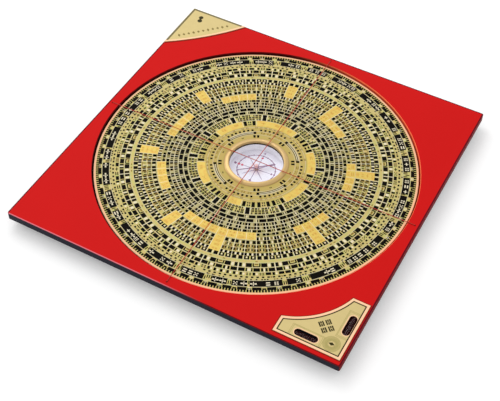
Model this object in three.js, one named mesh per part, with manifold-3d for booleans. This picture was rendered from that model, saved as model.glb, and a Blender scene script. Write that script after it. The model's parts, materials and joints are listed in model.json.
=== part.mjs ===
// Feng shui compass: a square board with a turning dial, a sealed needle capsule
// in the dial's centre, two tubular levels in a corner plate and two crossed threads.
// Millimetres, +Z up. The origin is the centre of the underside, X runs along the
// front edge and Y runs to the back.

import * as THREE from 'three';
import { mergeVertices } from 'three/addons/utils/BufferGeometryUtils.js';
import Module from 'manifold-3d';

const wasm = await Module();
wasm.setup();

// Facets in a full turn
const dialFacets = 96;
const capsuleFacets = 48;
const smallFacets = 20;
const screwFacets = 12;
const threadFacets = 8;
const cornerFacets = 4;
const arcFacets = 8;

// Clearances
const seatGap = 0.1;
const runningGap = 0.2;
const thrustGap = 0.1;
const cutOverrun = 1;

// Dial
const dialRadius = 132.9;
const dialSink = 2;
const dialCoreThickness = 4.6;
const dialEdgeChamfer = 0.5;
const facePlateThickness = 0.4;
const facePlateSetback = 0.1;

// Board
const dialRimGap = 1.3;
const boardRim = 9.8;
const boardThickness = 15;
const boardEdgeHeight = 6.8;
const bevelInset = 10;
const boardCornerRadius = 1.6;
const sheetThickness = 1.2;
const arrisChamfer = 0.35;

// Bearings between the board and the dial
const slipThickness = 0.7;
const slipRingInset = 9;
const slipRingWidth = 12;
const bushWall = 2;
const bushFlangeWidth = 5;
const bushFlangeThickness = 1;
const bushLength = 2.6;
const snapRingThickness = 0.7;
const snapRingWidth = 2.3;
const snapRingDepth = 0.6;
const snapRingOpening = 0.5;

// Bottom cover
const coverLedge = 7.6;
const coverThickness = 1.2;

// Capsule
const chamberRadius = 22.2;
const cupWall = 1.6;
const cupHeadWall = 1.15;
const cupFloorThickness = 1.2;
const cardDepth = 10.6;
const cardThickness = 0.4;
const glassSink = 2.6;
const glassThickness = 1;
const glassMargin = 1.5;
const gasketThickness = 0.3;
const bezelProud = 1.8;
const bezelLipInset = 0.2;
const bezelFlangeWidth = 1.9;
const bezelCrestInset = 0.9;
const bezelFlankFacets = 6;
const bezelLipFacets = 3;

// Hub ring that clamps the capsule to the dial
const hubThickness = 0.8;
const hubWidth = 9;
const hubScrewShare = 0.65;

// Pivot and needle
const pinRadius = 0.45;
const pinTipLength = 1;
const colletRadius = 1.4;
const colletHeight = 0.8;
const needleLift = 2.45;
const needleThickness = 0.25;
const needleLength = 33;
const needleBossRadius = 2;
const needleWaistWidth = 1.1;
const needleTailWidth = 0.7;
const needleHeadLength = 6;
const needleHeadWidth = 1.9;
const needleHeading = THREE.MathUtils.degToRad(39.5);
const capRadius = 1.5;
const capBoreRadius = 1;
const capHeight = 3.2;
const capFlangeThickness = 0.25;
const capRoofThickness = 0.35;
const capShoulder = 0.4;
const jewelHeight = 0.8;
const jewelRoof = 0.15;
const jewelMouthRadius = 0.7;
const pinTipGap = 0.05;

// Screws
const screwHeadRadius = 1.8;
const screwHeadHeight = 0.6;
const screwShankRadius = 0.9;
const screwLength = 4;
const screwSlotWidth = 0.45;
const screwSlotDepth = 0.3;
const bushScrewCount = 3;
const coverScrewCount = 3;
const hubScrewCount = 4;

// Front corner plate, which frames the levels
const plateThickness = 0.4;
const frontPlateLeg = 53.2;
const frontPlateInsetX = 2.4;
const frontPlateInsetY = 4.1;
const frontPlateTip = 14;
const frontPlateHollow = 6.6;

// Back corner plate
const backPlateLeg = 54.6;
const backPlateInset = 0.4;
const backPlateBulge = 3.3;

// Levels
const levelRadius = 3.4;
const levelWall = 0.7;
const levelLength = 22;
const levelCover = 0.3;
const levelPlugHead = 0.8;
const levelPlugDepth = 1.5;
const levelSlotLength = 18.6;
const levelSlotWidth = 6;
const levelPocketMargin = 1;
const levelPocketSide = 0.2;
const levelBedFloor = 0.5;
const levelBedDrop = 0.6;
const bubbleHalfLength = 2.6;
const bubbleHalfWidth = 1.6;
const bubbleDepth = 1.2;
const levelFrontSetback = 11.2;
const levelFrontAlong = 32.2;
const levelRightSetback = 8.45;
const levelRightAlong = 34;

// Crossed threads
const threadRadius = 0.3;
const threadLift = 0.05;
const threadHoleMargin = 6.1;
const threadHoleRadius = 0.7;
const threadBend = 0.5;
const threadCrossingGap = 0.3;
const threadWasherRadius = 1.7;
const threadWasherThickness = 0.5;
const threadSeatAboveBevel = 0.4;
const threadSeatClearance = 0.4;
const threadKnotRadius = 0.9;
const threadBendSteps = 3;
const threadEnds = ['right', 'back', 'left', 'front'];
const routeTolerance = 1e-9;

// Places worked out from the sizes above
const recessRadius = dialRadius + dialRimGap;
const boardHalf = recessRadius + boardRim;
const boardTop = boardThickness;
const sheetUnder = boardTop - sheetThickness;
const bevelTop = boardThickness - boardEdgeHeight;
const dialFace = boardTop - dialSink;
const dialCoreTop = dialFace - facePlateThickness;
const dialUnder = dialCoreTop - dialCoreThickness;
const recessFloor = dialUnder - thrustGap - slipThickness;
const cardTop = boardTop - cardDepth;
const cardUnder = cardTop - cardThickness;
const cupUnder = cardUnder - cupFloorThickness;
const glassTop = boardTop - glassSink;
const glassUnder = glassTop - glassThickness;
const cupLedge = glassUnder - gasketThickness;
const spindleRadius = chamberRadius + cupWall;
const glassRadius = chamberRadius + glassMargin;
const cupHeadBore = glassRadius + seatGap;
const cupHeadRadius = cupHeadBore + cupHeadWall;
const cupShoulder = dialUnder + hubThickness;
const cupRim = dialFace - seatGap;
const bezelLipRadius = chamberRadius + bezelLipInset;
const bezelRadius = cupHeadRadius + bezelFlangeWidth;
const bezelCrestRadius = bezelLipRadius + bezelCrestInset;
const bezelTop = dialFace + bezelProud;
const hubBore = spindleRadius + seatGap;
const hubRadius = hubBore + hubWidth;
const bushBore = spindleRadius + runningGap;
const bushRadius = bushBore + bushWall;
const bushFlangeRadius = bushRadius + bushFlangeWidth;
const bushUnder = recessFloor - bushLength;
const boardBore = bushRadius + seatGap;
const coverRadius = boardBore + coverLedge;
const snapRingTop = bushUnder - runningGap;
const snapRingUnder = snapRingTop - snapRingThickness;
const snapGrooveRadius = spindleRadius - snapRingDepth - seatGap;
const needlePlane = cardTop + needleLift;
const threadReach = recessRadius + threadHoleMargin;
const threadSeat = bevelTop + threadSeatAboveBevel;
const threadWasherTop = threadSeat - seatGap;
const threadWasherUnder = threadWasherTop - threadWasherThickness;
const threadHeight = boardTop + threadLift + threadRadius;
const levelAxis = boardTop - levelCover - levelRadius;
const levelPocketLength = levelLength + 2 * levelPocketMargin;
const levelPocketWidth = 2 * (levelRadius + levelPocketSide);
const levelPocketFloor = levelAxis - levelRadius - levelBedFloor;
const levelPlaces = [
  { x: boardHalf - levelFrontAlong, y: levelFrontSetback - boardHalf, turn: 0 },
  { x: boardHalf - levelRightSetback, y: levelRightAlong - boardHalf, turn: Math.PI / 2 },
];

// Materials
function finish(color, roughness, metalness, opacity = 1) {
  return new THREE.MeshStandardMaterial({
    color, roughness, metalness, opacity, transparent: opacity < 1,
  });
}
const blackBoard = () => finish(0x1d191a, 0.45, 0);
const redSheet = () => finish(0xcd1e19, 0.3, 0);
const goldPlate = () => finish(0xcdbf82, 0.4, 0.5);
const brass = () => finish(0xc9a35a, 0.3, 0.9);
const steel = () => finish(0x9a9ca0, 0.25, 0.9);
const bluedSteel = () => finish(0x2a3140, 0.3, 0.8);
const clearGlass = () => finish(0xe6f0f0, 0.05, 0, 0.3);
const whiteCard = () => finish(0xeae6ee, 0.7, 0);
const redNylon = () => finish(0xd0202a, 0.4, 0);
const spirit = () => finish(0xb8c86a, 0.1, 0, 0.6);
const rubber = () => finish(0x2b2b2b, 0.8, 0);
const slipPlastic = () => finish(0xe8e4da, 0.5, 0);
const ruby = () => finish(0x9c1030, 0.1, 0, 0.8);

// Shape tools

// A geometry with shared corners and no collapsed faces.
function welded(geometry) {
  const bare = geometry.clone();
  bare.deleteAttribute('normal');
  bare.deleteAttribute('uv');
  const merged = mergeVertices(bare);
  const source = merged.index.array;
  const kept = [];
  for (let i = 0; i < source.length; i += 3) {
    const [a, b, c] = [source[i], source[i + 1], source[i + 2]];
    if (a !== b && b !== c && c !== a) kept.push(a, b, c);
  }
  merged.setIndex(kept);
  return merged;
}

function toSolid(geometry) {
  const mesh = welded(geometry);
  return new wasm.Manifold(new wasm.Mesh({
    numProp: 3,
    vertProperties: new Float32Array(mesh.attributes.position.array),
    triVerts: new Uint32Array(mesh.index.array),
  }));
}

function fromSolid(solid) {
  const mesh = solid.getMesh();
  const geometry = new THREE.BufferGeometry();
  geometry.setAttribute('position', new THREE.BufferAttribute(mesh.vertProperties, 3));
  geometry.setIndex(new THREE.BufferAttribute(mesh.triVerts, 1));
  return geometry;
}

function cutFrom(geometry, cutters) {
  let solid = toSolid(geometry);
  for (const cutter of cutters) solid = solid.subtract(toSolid(cutter));
  return fromSolid(solid);
}

function joined(geometries) {
  const [first, ...rest] = geometries.map(toSolid);
  return fromSolid(rest.reduce((sum, solid) => sum.add(solid), first));
}

// A solid turned about Z from a closed list of [radius, height] points.
function turned(points, facets) {
  const profile = [...points, points[0]].map(([radius, height]) => new THREE.Vector2(radius, height));
  return welded(new THREE.LatheGeometry(profile, facets).rotateX(Math.PI / 2));
}

function disc(radius, low, high, facets) {
  return turned([[0, low], [radius, low], [radius, high], [0, high]], facets);
}

function ring(bore, radius, low, high, facets) {
  return turned([[bore, low], [radius, low], [radius, high], [bore, high]], facets);
}

function block(length, width, low, high) {
  return new THREE.BoxGeometry(length, width, high - low).translate(0, 0, (low + high) / 2);
}

function plate(shape, low, high, facets) {
  return new THREE.ExtrudeGeometry(shape, {
    depth: high - low, bevelEnabled: false, curveSegments: facets,
  }).translate(0, 0, low);
}

// Corners of a rounded square, counterclockwise.
function roundedSquare(half, radius) {
  const corners = [];
  for (let quarter = 0; quarter < 4; quarter += 1) {
    for (let step = 0; step <= cornerFacets; step += 1) {
      const local = (Math.PI / 2) * (step / cornerFacets);
      const angle = (Math.PI / 2) * quarter + local;
      const middle = new THREE.Vector2(half - radius, half - radius);
      middle.rotateAround(new THREE.Vector2(), (Math.PI / 2) * quarter);
      corners.push([middle.x + radius * Math.cos(angle), middle.y + radius * Math.sin(angle)]);
    }
  }
  return corners;
}

// A solid through rounded squares of one corner count, lowest level first.
function squareLoft(levels) {
  const rings = levels.map((level) => roundedSquare(level.half, level.corner));
  const count = rings[0].length;
  const positions = [];
  rings.forEach((corners, index) => {
    corners.forEach(([x, y]) => positions.push(x, y, levels[index].height));
  });
  const faces = [];
  for (let level = 0; level + 1 < rings.length; level += 1) {
    for (let i = 0; i < count; i += 1) {
      const a = level * count + i;
      const b = level * count + ((i + 1) % count);
      faces.push(a, b, b + count, a, b + count, a + count);
    }
  }
  const top = (rings.length - 1) * count;
  for (let i = 1; i + 1 < count; i += 1) {
    faces.push(0, i + 1, i);
    faces.push(top, top + i, top + i + 1);
  }
  const geometry = new THREE.BufferGeometry();
  geometry.setAttribute('position', new THREE.Float32BufferAttribute(positions, 3));
  geometry.setIndex(faces);
  return geometry;
}

// A stadium outline along X, centred on a point.
function addStadium(path, x, y, length, width) {
  const radius = width / 2;
  const reach = length / 2 - radius;
  path.moveTo(x - reach, y - radius);
  path.lineTo(x + reach, y - radius);
  path.absarc(x + reach, y, radius, -Math.PI / 2, Math.PI / 2, false);
  path.lineTo(x - reach, y + radius);
  path.absarc(x - reach, y, radius, Math.PI / 2, 1.5 * Math.PI, false);
  return path;
}

// The same outline along Y.
function addUprightStadium(path, x, y, length, width) {
  const radius = width / 2;
  const reach = length / 2 - radius;
  path.moveTo(x + radius, y - reach);
  path.lineTo(x + radius, y + reach);
  path.absarc(x, y + reach, radius, 0, Math.PI, false);
  path.lineTo(x - radius, y - reach);
  path.absarc(x, y - reach, radius, Math.PI, 2 * Math.PI, false);
  return path;
}

const model = new THREE.Group();

function addPiece(name, geometry, material, parent = model) {
  const mesh = new THREE.Mesh(geometry, material);
  mesh.name = name;
  parent.add(mesh);
  return mesh;
}

// Places at equal angles on a circle
function aroundCircle(count, radius, start) {
  return Array.from({ length: count }, (_, index) => {
    const angle = start + (2 * Math.PI * index) / count;
    return { x: radius * Math.cos(angle), y: radius * Math.sin(angle) };
  });
}

// Cutter for a countersunk screw, head up, whose head lies a seat gap below height zero
function screwHole() {
  const foot = -screwLength - 2 * seatGap;
  return turned([
    [0, foot],
    [screwShankRadius + seatGap, foot],
    [screwShankRadius + seatGap, -screwHeadHeight - seatGap],
    [screwHeadRadius + seatGap, -seatGap],
    [screwHeadRadius + seatGap, cutOverrun],
    [0, cutOverrun],
  ], screwFacets);
}

function screwGeometry() {
  const body = turned([
    [0, -screwLength],
    [screwShankRadius, -screwLength],
    [screwShankRadius, -screwHeadHeight],
    [screwHeadRadius, 0],
    [0, 0],
  ], screwFacets);
  return cutFrom(body, [block(2 * (screwHeadRadius + cutOverrun), screwSlotWidth, -screwSlotDepth, cutOverrun)]);
}

// Cutters for a circle of screws whose heads lie flush in a face
function screwHoles(places, face, headDown) {
  return places.map(({ x, y }) => {
    const cutter = screwHole();
    if (headDown) cutter.rotateX(Math.PI);
    return cutter.translate(x, y, face);
  });
}

function addScrews(name, places, face, headDown) {
  places.forEach(({ x, y }, index) => {
    const screw = addPiece(`${name}_${index + 1}`, screwGeometry(), steel());
    screw.position.set(x, y, headDown ? face + seatGap : face - seatGap);
    if (headDown) screw.rotation.x = Math.PI;
  });
}

const bushScrewPlaces = aroundCircle(bushScrewCount, bushRadius + bushFlangeWidth / 2, Math.PI / 2);
const coverScrewPlaces = aroundCircle(coverScrewCount, boardBore + coverLedge / 2, -Math.PI / 2);
const hubScrewPlaces = aroundCircle(hubScrewCount, hubBore + hubScrewShare * hubWidth, Math.PI / 4);
const threadPlaces = aroundCircle(threadEnds.length, threadReach, 0);

// Pockets for the two levels, cut through the sheet and into the board
function levelPockets() {
  return levelPlaces.map(({ x, y, turn }) => (
    block(levelPocketLength, levelPocketWidth, levelPocketFloor, boardTop + cutOverrun)
      .rotateZ(turn).translate(x, y, 0)
  ));
}

// Board: black core with a bevelled underside
function boardGeometry() {
  const corner = boardCornerRadius;
  const core = squareLoft([
    { half: boardHalf - bevelInset, corner, height: 0 },
    { half: boardHalf, corner, height: bevelTop },
    { half: boardHalf, corner, height: sheetUnder },
  ]);
  const threadHoles = threadPlaces.map(({ x, y }) => (
    turned([
      [0, -cutOverrun],
      [threadWasherRadius + threadSeatClearance, -cutOverrun],
      [threadWasherRadius + threadSeatClearance, threadSeat],
      [threadHoleRadius, threadSeat],
      [threadHoleRadius, boardTop],
      [0, boardTop],
    ], screwFacets).translate(x, y, 0)
  ));
  return cutFrom(core, [
    disc(recessRadius, recessFloor, boardTop + cutOverrun, dialFacets),
    disc(boardBore, -cutOverrun, boardTop, capsuleFacets),
    disc(bushFlangeRadius + seatGap, recessFloor - bushFlangeThickness, boardTop, capsuleFacets),
    disc(coverRadius + seatGap, -cutOverrun, coverThickness, capsuleFacets),
    ...screwHoles(bushScrewPlaces, recessFloor, false),
    ...screwHoles(coverScrewPlaces, 0, true),
    ...levelPockets(),
    ...threadHoles,
  ]);
}

// Red sheet on top of the board
function sheetGeometry() {
  const sheet = squareLoft([
    { half: boardHalf, corner: boardCornerRadius, height: sheetUnder },
    { half: boardHalf, corner: boardCornerRadius, height: boardTop - arrisChamfer },
    { half: boardHalf - arrisChamfer, corner: boardCornerRadius, height: boardTop },
  ]);
  const opening = turned([
    [0, sheetUnder - cutOverrun],
    [recessRadius, sheetUnder - cutOverrun],
    [recessRadius, boardTop - arrisChamfer],
    [recessRadius + arrisChamfer, boardTop],
    [recessRadius + arrisChamfer, boardTop + cutOverrun],
    [0, boardTop + cutOverrun],
  ], dialFacets);
  const threadHoles = threadPlaces.map(({ x, y }) => (
    disc(threadHoleRadius, sheetUnder - cutOverrun, boardTop + cutOverrun, screwFacets)
      .translate(x, y, 0)
  ));
  return cutFrom(sheet, [opening, ...levelPockets(), ...threadHoles]);
}

// Front plate: two legs along the board's edges and a hollow side towards the dial
function frontPlateShape() {
  const cornerX = boardHalf - frontPlateInsetX;
  const cornerY = frontPlateInsetY - boardHalf;
  const leftX = cornerX - frontPlateLeg;
  const backY = cornerY + frontPlateLeg;
  const start = new THREE.Vector2(cornerX - frontPlateTip, backY);
  const end = new THREE.Vector2(leftX, cornerY + frontPlateTip);
  const halfChord = start.distanceTo(end) / 2;
  const radius = (halfChord ** 2 + frontPlateHollow ** 2) / (2 * frontPlateHollow);
  const middle = start.clone().add(end).divideScalar(2);
  const towardsDial = new THREE.Vector2(end.y - start.y, start.x - end.x).normalize();
  const centre = middle.addScaledVector(towardsDial, radius - frontPlateHollow);
  const shape = new THREE.Shape();
  shape.moveTo(cornerX, cornerY);
  shape.lineTo(cornerX, backY);
  shape.absarc(
    centre.x,
    centre.y,
    radius,
    start.clone().sub(centre).angle(),
    end.clone().sub(centre).angle(),
    true,
  );
  shape.lineTo(leftX, cornerY);
  const [front, right] = levelPlaces;
  shape.holes.push(
    addStadium(new THREE.Path(), front.x, front.y, levelSlotLength, levelSlotWidth),
    addUprightStadium(new THREE.Path(), right.x, right.y, levelSlotLength, levelSlotWidth),
  );
  return shape;
}

// Back plate: a corner triangle with the board's round corner, whose long side swells
function backPlateShape() {
  const apexX = backPlateInset - boardHalf;
  const apexY = boardHalf - backPlateInset;
  const swell = Math.SQRT2 * backPlateBulge;
  const round = boardCornerRadius;
  const shape = new THREE.Shape();
  shape.moveTo(apexX, apexY - backPlateLeg);
  shape.quadraticCurveTo(
    apexX + backPlateLeg / 2 + swell,
    apexY - backPlateLeg / 2 - swell,
    apexX + backPlateLeg,
    apexY,
  );
  shape.lineTo(apexX + round, apexY);
  shape.absarc(apexX + round, apexY - round, round, Math.PI / 2, Math.PI, false);
  return shape;
}

function addBoard() {
  addPiece('base_board', boardGeometry(), blackBoard());
  addPiece('red_top_sheet', sheetGeometry(), redSheet());
  const shapes = { front_corner_plate: frontPlateShape(), back_corner_plate: backPlateShape() };
  for (const [name, shape] of Object.entries(shapes)) {
    addPiece(name, plate(shape, boardTop, boardTop + plateThickness, arcFacets), goldPlate());
  }
}

// Bearings, the bush that the capsule's cup turns in, and the bottom cover
function addBearings() {
  const flange = recessFloor - bushFlangeThickness;
  const bush = turned([
    [bushBore, bushUnder],
    [bushRadius, bushUnder],
    [bushRadius, flange],
    [bushFlangeRadius, flange],
    [bushFlangeRadius, recessFloor],
    [bushBore, recessFloor],
  ], capsuleFacets);
  addPiece('centre_bush', cutFrom(bush, screwHoles(bushScrewPlaces, recessFloor, false)), brass());
  addScrews('bush_screw', bushScrewPlaces, recessFloor, false);
  const slipTop = recessFloor + slipThickness;
  addPiece(
    'thrust_washer',
    ring(bushBore, bushFlangeRadius, recessFloor, slipTop, capsuleFacets),
    slipPlastic(),
  );
  const slipOuter = dialRadius - slipRingInset;
  addPiece(
    'slip_ring',
    ring(slipOuter - slipRingWidth, slipOuter, recessFloor, slipTop, capsuleFacets),
    slipPlastic(),
  );
  const cover = disc(coverRadius, 0, coverThickness, capsuleFacets);
  addPiece('bottom_cover', cutFrom(cover, screwHoles(coverScrewPlaces, 0, true)), blackBoard());
  addScrews('cover_screw', coverScrewPlaces, 0, true);
}

// Level: glass tube along X, two plugs, the spirit with its bubble, and the bed
function tubeAlongX(bore, radius, length) {
  return ring(bore, radius, -length / 2, length / 2, smallFacets).rotateY(Math.PI / 2);
}

function plugGeometry() {
  const spigot = levelRadius - levelWall - seatGap;
  return turned([
    [0, -levelPlugDepth],
    [spigot, -levelPlugDepth],
    [spigot, 0],
    [levelRadius, 0],
    [levelRadius, levelPlugHead],
    [0, levelPlugHead],
  ], smallFacets).rotateY(Math.PI / 2);
}

function spiritGeometry(tubeLength) {
  const radius = levelRadius - levelWall - seatGap;
  const length = tubeLength - 2 * levelPlugDepth;
  const column = disc(radius, -length / 2, length / 2, smallFacets).rotateY(Math.PI / 2);
  const bubble = new THREE.SphereGeometry(1, smallFacets, smallFacets / 2)
    .scale(bubbleHalfLength, bubbleHalfWidth, bubbleDepth)
    .translate(0, 0, radius);
  return cutFrom(column, [bubble]);
}

function bedGeometry() {
  const low = levelPocketFloor - levelAxis;
  const bed = block(levelLength, levelPocketWidth - 2 * seatGap, low, -levelBedDrop);
  const trough = disc(levelRadius + seatGap, -levelLength, levelLength, smallFacets);
  return cutFrom(bed, [trough.rotateY(Math.PI / 2)]);
}

function addLevel(name, place) {
  const level = new THREE.Group();
  level.position.set(place.x, place.y, levelAxis);
  level.rotation.z = place.turn;
  model.add(level);
  const tubeLength = levelLength - 2 * levelPlugHead;
  addPiece(`${name}_tube`, tubeAlongX(levelRadius - levelWall, levelRadius, tubeLength), clearGlass(), level);
  addPiece(`${name}_spirit`, spiritGeometry(tubeLength), spirit(), level);
  addPiece(`${name}_bed`, bedGeometry(), rubber(), level);
  for (const side of [1, -1]) {
    const plug = addPiece(`${name}_plug_${side > 0 ? 'a' : 'b'}`, plugGeometry(), rubber(), level);
    plug.position.x = (side * tubeLength) / 2;
    if (side < 0) plug.rotation.z = Math.PI;
  }
}

// A path whose steps fall on the listed points
class PointRoute extends THREE.Curve {
  constructor(points) {
    super();
    this.points = points;
  }

  getPoint(t, target = new THREE.Vector3()) {
    const last = this.points.length - 1;
    const index = Math.min(Math.floor(t * last + routeTolerance), last - 1);
    return target.lerpVectors(this.points[index], this.points[index + 1], t * last - index);
  }

  getUtoTmapping(u) {
    return u;
  }
}

// Thread along X: up one hole, over the board and down the other
function threadGeometry(crossingRise) {
  const half = [];
  const knot = threadWasherUnder - seatGap - threadKnotRadius;
  half.push(new THREE.Vector3(threadReach, 0, knot));
  const bendX = threadReach - threadBend;
  const bendZ = threadHeight - threadBend;
  for (let step = 0; step <= threadBendSteps; step += 1) {
    const angle = ((Math.PI / 2) * step) / threadBendSteps;
    half.push(new THREE.Vector3(
      bendX + threadBend * Math.cos(angle),
      0,
      bendZ + threadBend * Math.sin(angle),
    ));
  }
  const crossing = new THREE.Vector3(0, 0, threadHeight + crossingRise);
  const far = half.map((point) => new THREE.Vector3(-point.x, 0, point.z)).reverse();
  const points = [...half, crossing, ...far];
  const section = new THREE.Shape().absarc(0, 0, threadRadius, 0, 2 * Math.PI, false);
  const tube = new THREE.ExtrudeGeometry(section, {
    extrudePath: new PointRoute(points),
    steps: points.length - 1,
    curveSegments: threadFacets,
    bevelEnabled: false,
  });
  const knots = [threadReach, -threadReach].map((x) => (
    new THREE.SphereGeometry(threadKnotRadius, threadFacets, threadFacets / 2).translate(x, 0, knot)
  ));
  return joined([tube, ...knots]);
}

function addThreads() {
  addPiece('cross_thread_x', threadGeometry(0), redNylon());
  const rise = 2 * threadRadius + threadCrossingGap;
  addPiece('cross_thread_y', threadGeometry(rise), redNylon()).rotation.z = Math.PI / 2;
  threadPlaces.forEach(({ x, y }, index) => {
    const washer = ring(
      threadRadius + runningGap,
      threadWasherRadius,
      threadWasherUnder,
      threadWasherTop,
      screwFacets,
    );
    addPiece(`thread_washer_${threadEnds[index]}`, washer, brass()).position.set(x, y, 0);
  });
}

// Dial: core disc, printed face plate, hub ring and its screws
function addDial() {
  const core = turned([
    [cupHeadRadius + seatGap, dialUnder],
    [dialRadius - dialEdgeChamfer, dialUnder],
    [dialRadius, dialUnder + dialEdgeChamfer],
    [dialRadius, dialCoreTop],
    [cupHeadRadius + seatGap, dialCoreTop],
  ], dialFacets);
  const rebate = disc(hubRadius + seatGap, dialUnder - cutOverrun, cupShoulder, capsuleFacets);
  addPiece('dial_disc', cutFrom(core, [
    rebate,
    ...screwHoles(hubScrewPlaces, dialUnder, true),
  ]), blackBoard());
  addPiece(
    'dial_face_plate',
    ring(cupHeadRadius + seatGap, dialRadius - facePlateSetback, dialCoreTop, dialFace, dialFacets),
    goldPlate(),
  );
  const hub = ring(hubBore, hubRadius, dialUnder, cupShoulder, capsuleFacets);
  addPiece('hub_ring', cutFrom(hub, screwHoles(hubScrewPlaces, dialUnder, true)), brass());
  addScrews('hub_screw', hubScrewPlaces, dialUnder, true);
}

// Snap ring under the bush, open at one side so that it springs into its groove
function addSnapRing() {
  const bore = snapGrooveRadius + seatGap;
  const radius = bore + snapRingWidth;
  const start = snapRingOpening / 2;
  const end = 2 * Math.PI - snapRingOpening / 2;
  const shape = new THREE.Shape();
  shape.absarc(0, 0, radius, start, end, false);
  shape.absarc(0, 0, bore, end, start, true);
  addPiece('snap_ring', plate(shape, snapRingUnder, snapRingTop, capsuleFacets), steel());
}

// Capsule: cup, card, pivot, gasket, glass and bezel
function cupGeometry() {
  return turned([
    [0, cupUnder],
    [spindleRadius, cupUnder],
    [spindleRadius, snapRingUnder - seatGap],
    [snapGrooveRadius, snapRingUnder - seatGap],
    [snapGrooveRadius, snapRingTop + seatGap],
    [spindleRadius, snapRingTop + seatGap],
    [spindleRadius, cupShoulder],
    [cupHeadRadius, cupShoulder],
    [cupHeadRadius, cupRim],
    [cupHeadBore, cupRim],
    [cupHeadBore, cupLedge],
    [chamberRadius, cupLedge],
    [chamberRadius, cardUnder],
    [0, cardUnder],
  ], capsuleFacets);
}

// The crest is close to the lip, and the flank falls from it to the dial's face
function bezelGeometry() {
  const crown = [];
  const flankWidth = bezelRadius - bezelCrestRadius;
  for (let step = 0; step <= bezelFlankFacets; step += 1) {
    const angle = (Math.PI / 2) * (step / bezelFlankFacets);
    crown.push([bezelCrestRadius + flankWidth * Math.cos(angle), dialFace + bezelProud * Math.sin(angle)]);
  }
  for (let step = 1; step <= bezelLipFacets; step += 1) {
    const angle = (Math.PI / 2) * (step / bezelLipFacets);
    crown.push([
      bezelCrestRadius - bezelCrestInset * Math.sin(angle),
      bezelTop - bezelCrestInset * (1 - Math.cos(angle)),
    ]);
  }
  return turned([
    [bezelLipRadius, glassTop + seatGap],
    [glassRadius, glassTop + seatGap],
    [glassRadius, dialFace],
    ...crown,
  ], capsuleFacets);
}

function addCapsule() {
  addPiece('capsule_cup', cupGeometry(), brass());
  const cardRadius = chamberRadius - runningGap;
  addPiece('capsule_card', ring(pinRadius + seatGap, cardRadius, cardUnder, cardTop, capsuleFacets), whiteCard());
  addPiece(
    'pivot_collet',
    ring(pinRadius + seatGap, colletRadius, cardTop, cardTop + colletHeight, smallFacets),
    brass(),
  );
  const pinTop = jewelApex() - pinTipGap;
  addPiece('pivot_pin', turned([
    [0, cardUnder],
    [pinRadius, cardUnder],
    [pinRadius, pinTop - pinTipLength],
    [0, pinTop],
  ], smallFacets), steel());
  addPiece('capsule_gasket', ring(chamberRadius, glassRadius, cupLedge, glassUnder, capsuleFacets), rubber());
  addPiece('capsule_glass', disc(glassRadius, glassUnder, glassTop, capsuleFacets), clearGlass());
  addPiece('bezel_ring', bezelGeometry(), brass());
}

// Needle: blade with a boss, brass cap with a flange, and the jewel in the cap
function capTop() {
  return needlePlane - capFlangeThickness + capHeight;
}

function jewelTop() {
  return capTop() - capRoofThickness - pinTipGap;
}

function jewelApex() {
  return jewelTop() - jewelRoof;
}

function needleShape() {
  const half = needleLength / 2;
  const boss = new THREE.Vector2(needleBossRadius, needleWaistWidth / 2);
  const shape = new THREE.Shape();
  const angle = Math.asin(boss.y / needleBossRadius);
  shape.moveTo(half, 0);
  shape.lineTo(half - needleHeadLength / 2, needleHeadWidth / 2);
  shape.lineTo(half - needleHeadLength, needleWaistWidth / 2);
  shape.absarc(0, 0, needleBossRadius, angle, Math.PI - angle, false);
  shape.lineTo(-half, needleTailWidth / 2);
  shape.lineTo(-half, -needleTailWidth / 2);
  shape.absarc(0, 0, needleBossRadius, Math.PI + angle, 2 * Math.PI - angle, false);
  shape.lineTo(half - needleHeadLength, -needleWaistWidth / 2);
  shape.lineTo(half - needleHeadLength / 2, -needleHeadWidth / 2);
  shape.holes.push(new THREE.Path().absarc(0, 0, capRadius + pinTipGap, 0, 2 * Math.PI, true));
  return shape;
}

function addNeedle() {
  const needle = new THREE.Group();
  needle.rotation.z = needleHeading;
  model.add(needle);
  const blade = plate(needleShape(), needlePlane, needlePlane + needleThickness, smallFacets);
  addPiece('needle_blade', blade, bluedSteel(), needle);
  const flangeUnder = needlePlane - capFlangeThickness;
  addPiece('needle_cap', turned([
    [capBoreRadius, flangeUnder],
    [needleBossRadius, flangeUnder],
    [needleBossRadius, needlePlane],
    [capRadius, needlePlane],
    [capRadius, capTop() - capShoulder],
    [capRadius - capShoulder, capTop()],
    [0, capTop()],
    [0, capTop() - capRoofThickness],
    [capBoreRadius, capTop() - capRoofThickness],
  ], smallFacets), brass(), needle);
  addPiece('needle_jewel', turned([
    [jewelMouthRadius, jewelTop() - jewelHeight],
    [capBoreRadius - pinTipGap, jewelTop() - jewelHeight],
    [capBoreRadius - pinTipGap, jewelTop()],
    [0, jewelTop()],
    [0, jewelApex()],
  ], smallFacets), ruby(), needle);
}

addBoard();
addBearings();
addLevel('level_front', levelPlaces[0]);
addLevel('level_right', levelPlaces[1]);
addThreads();
addDial();
addSnapRing();
addCapsule();
addNeedle();

export default model;
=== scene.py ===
"""Looks of a feng shui compass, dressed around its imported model.

Every length is in metres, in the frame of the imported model: +Z up, the origin at the
centre of the underside, X along the front edge and Y to the back. Each sub-assembly is
a class that holds its sizes, builds its meshes and dresses them.
"""

import itertools
import json
import logging
import math
import random
from abc import ABC, abstractmethod
from collections.abc import Collection, Iterable, Sequence
from dataclasses import dataclass
from enum import Enum
from functools import partial

import bpy
from mathutils import Matrix, Vector


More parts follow.
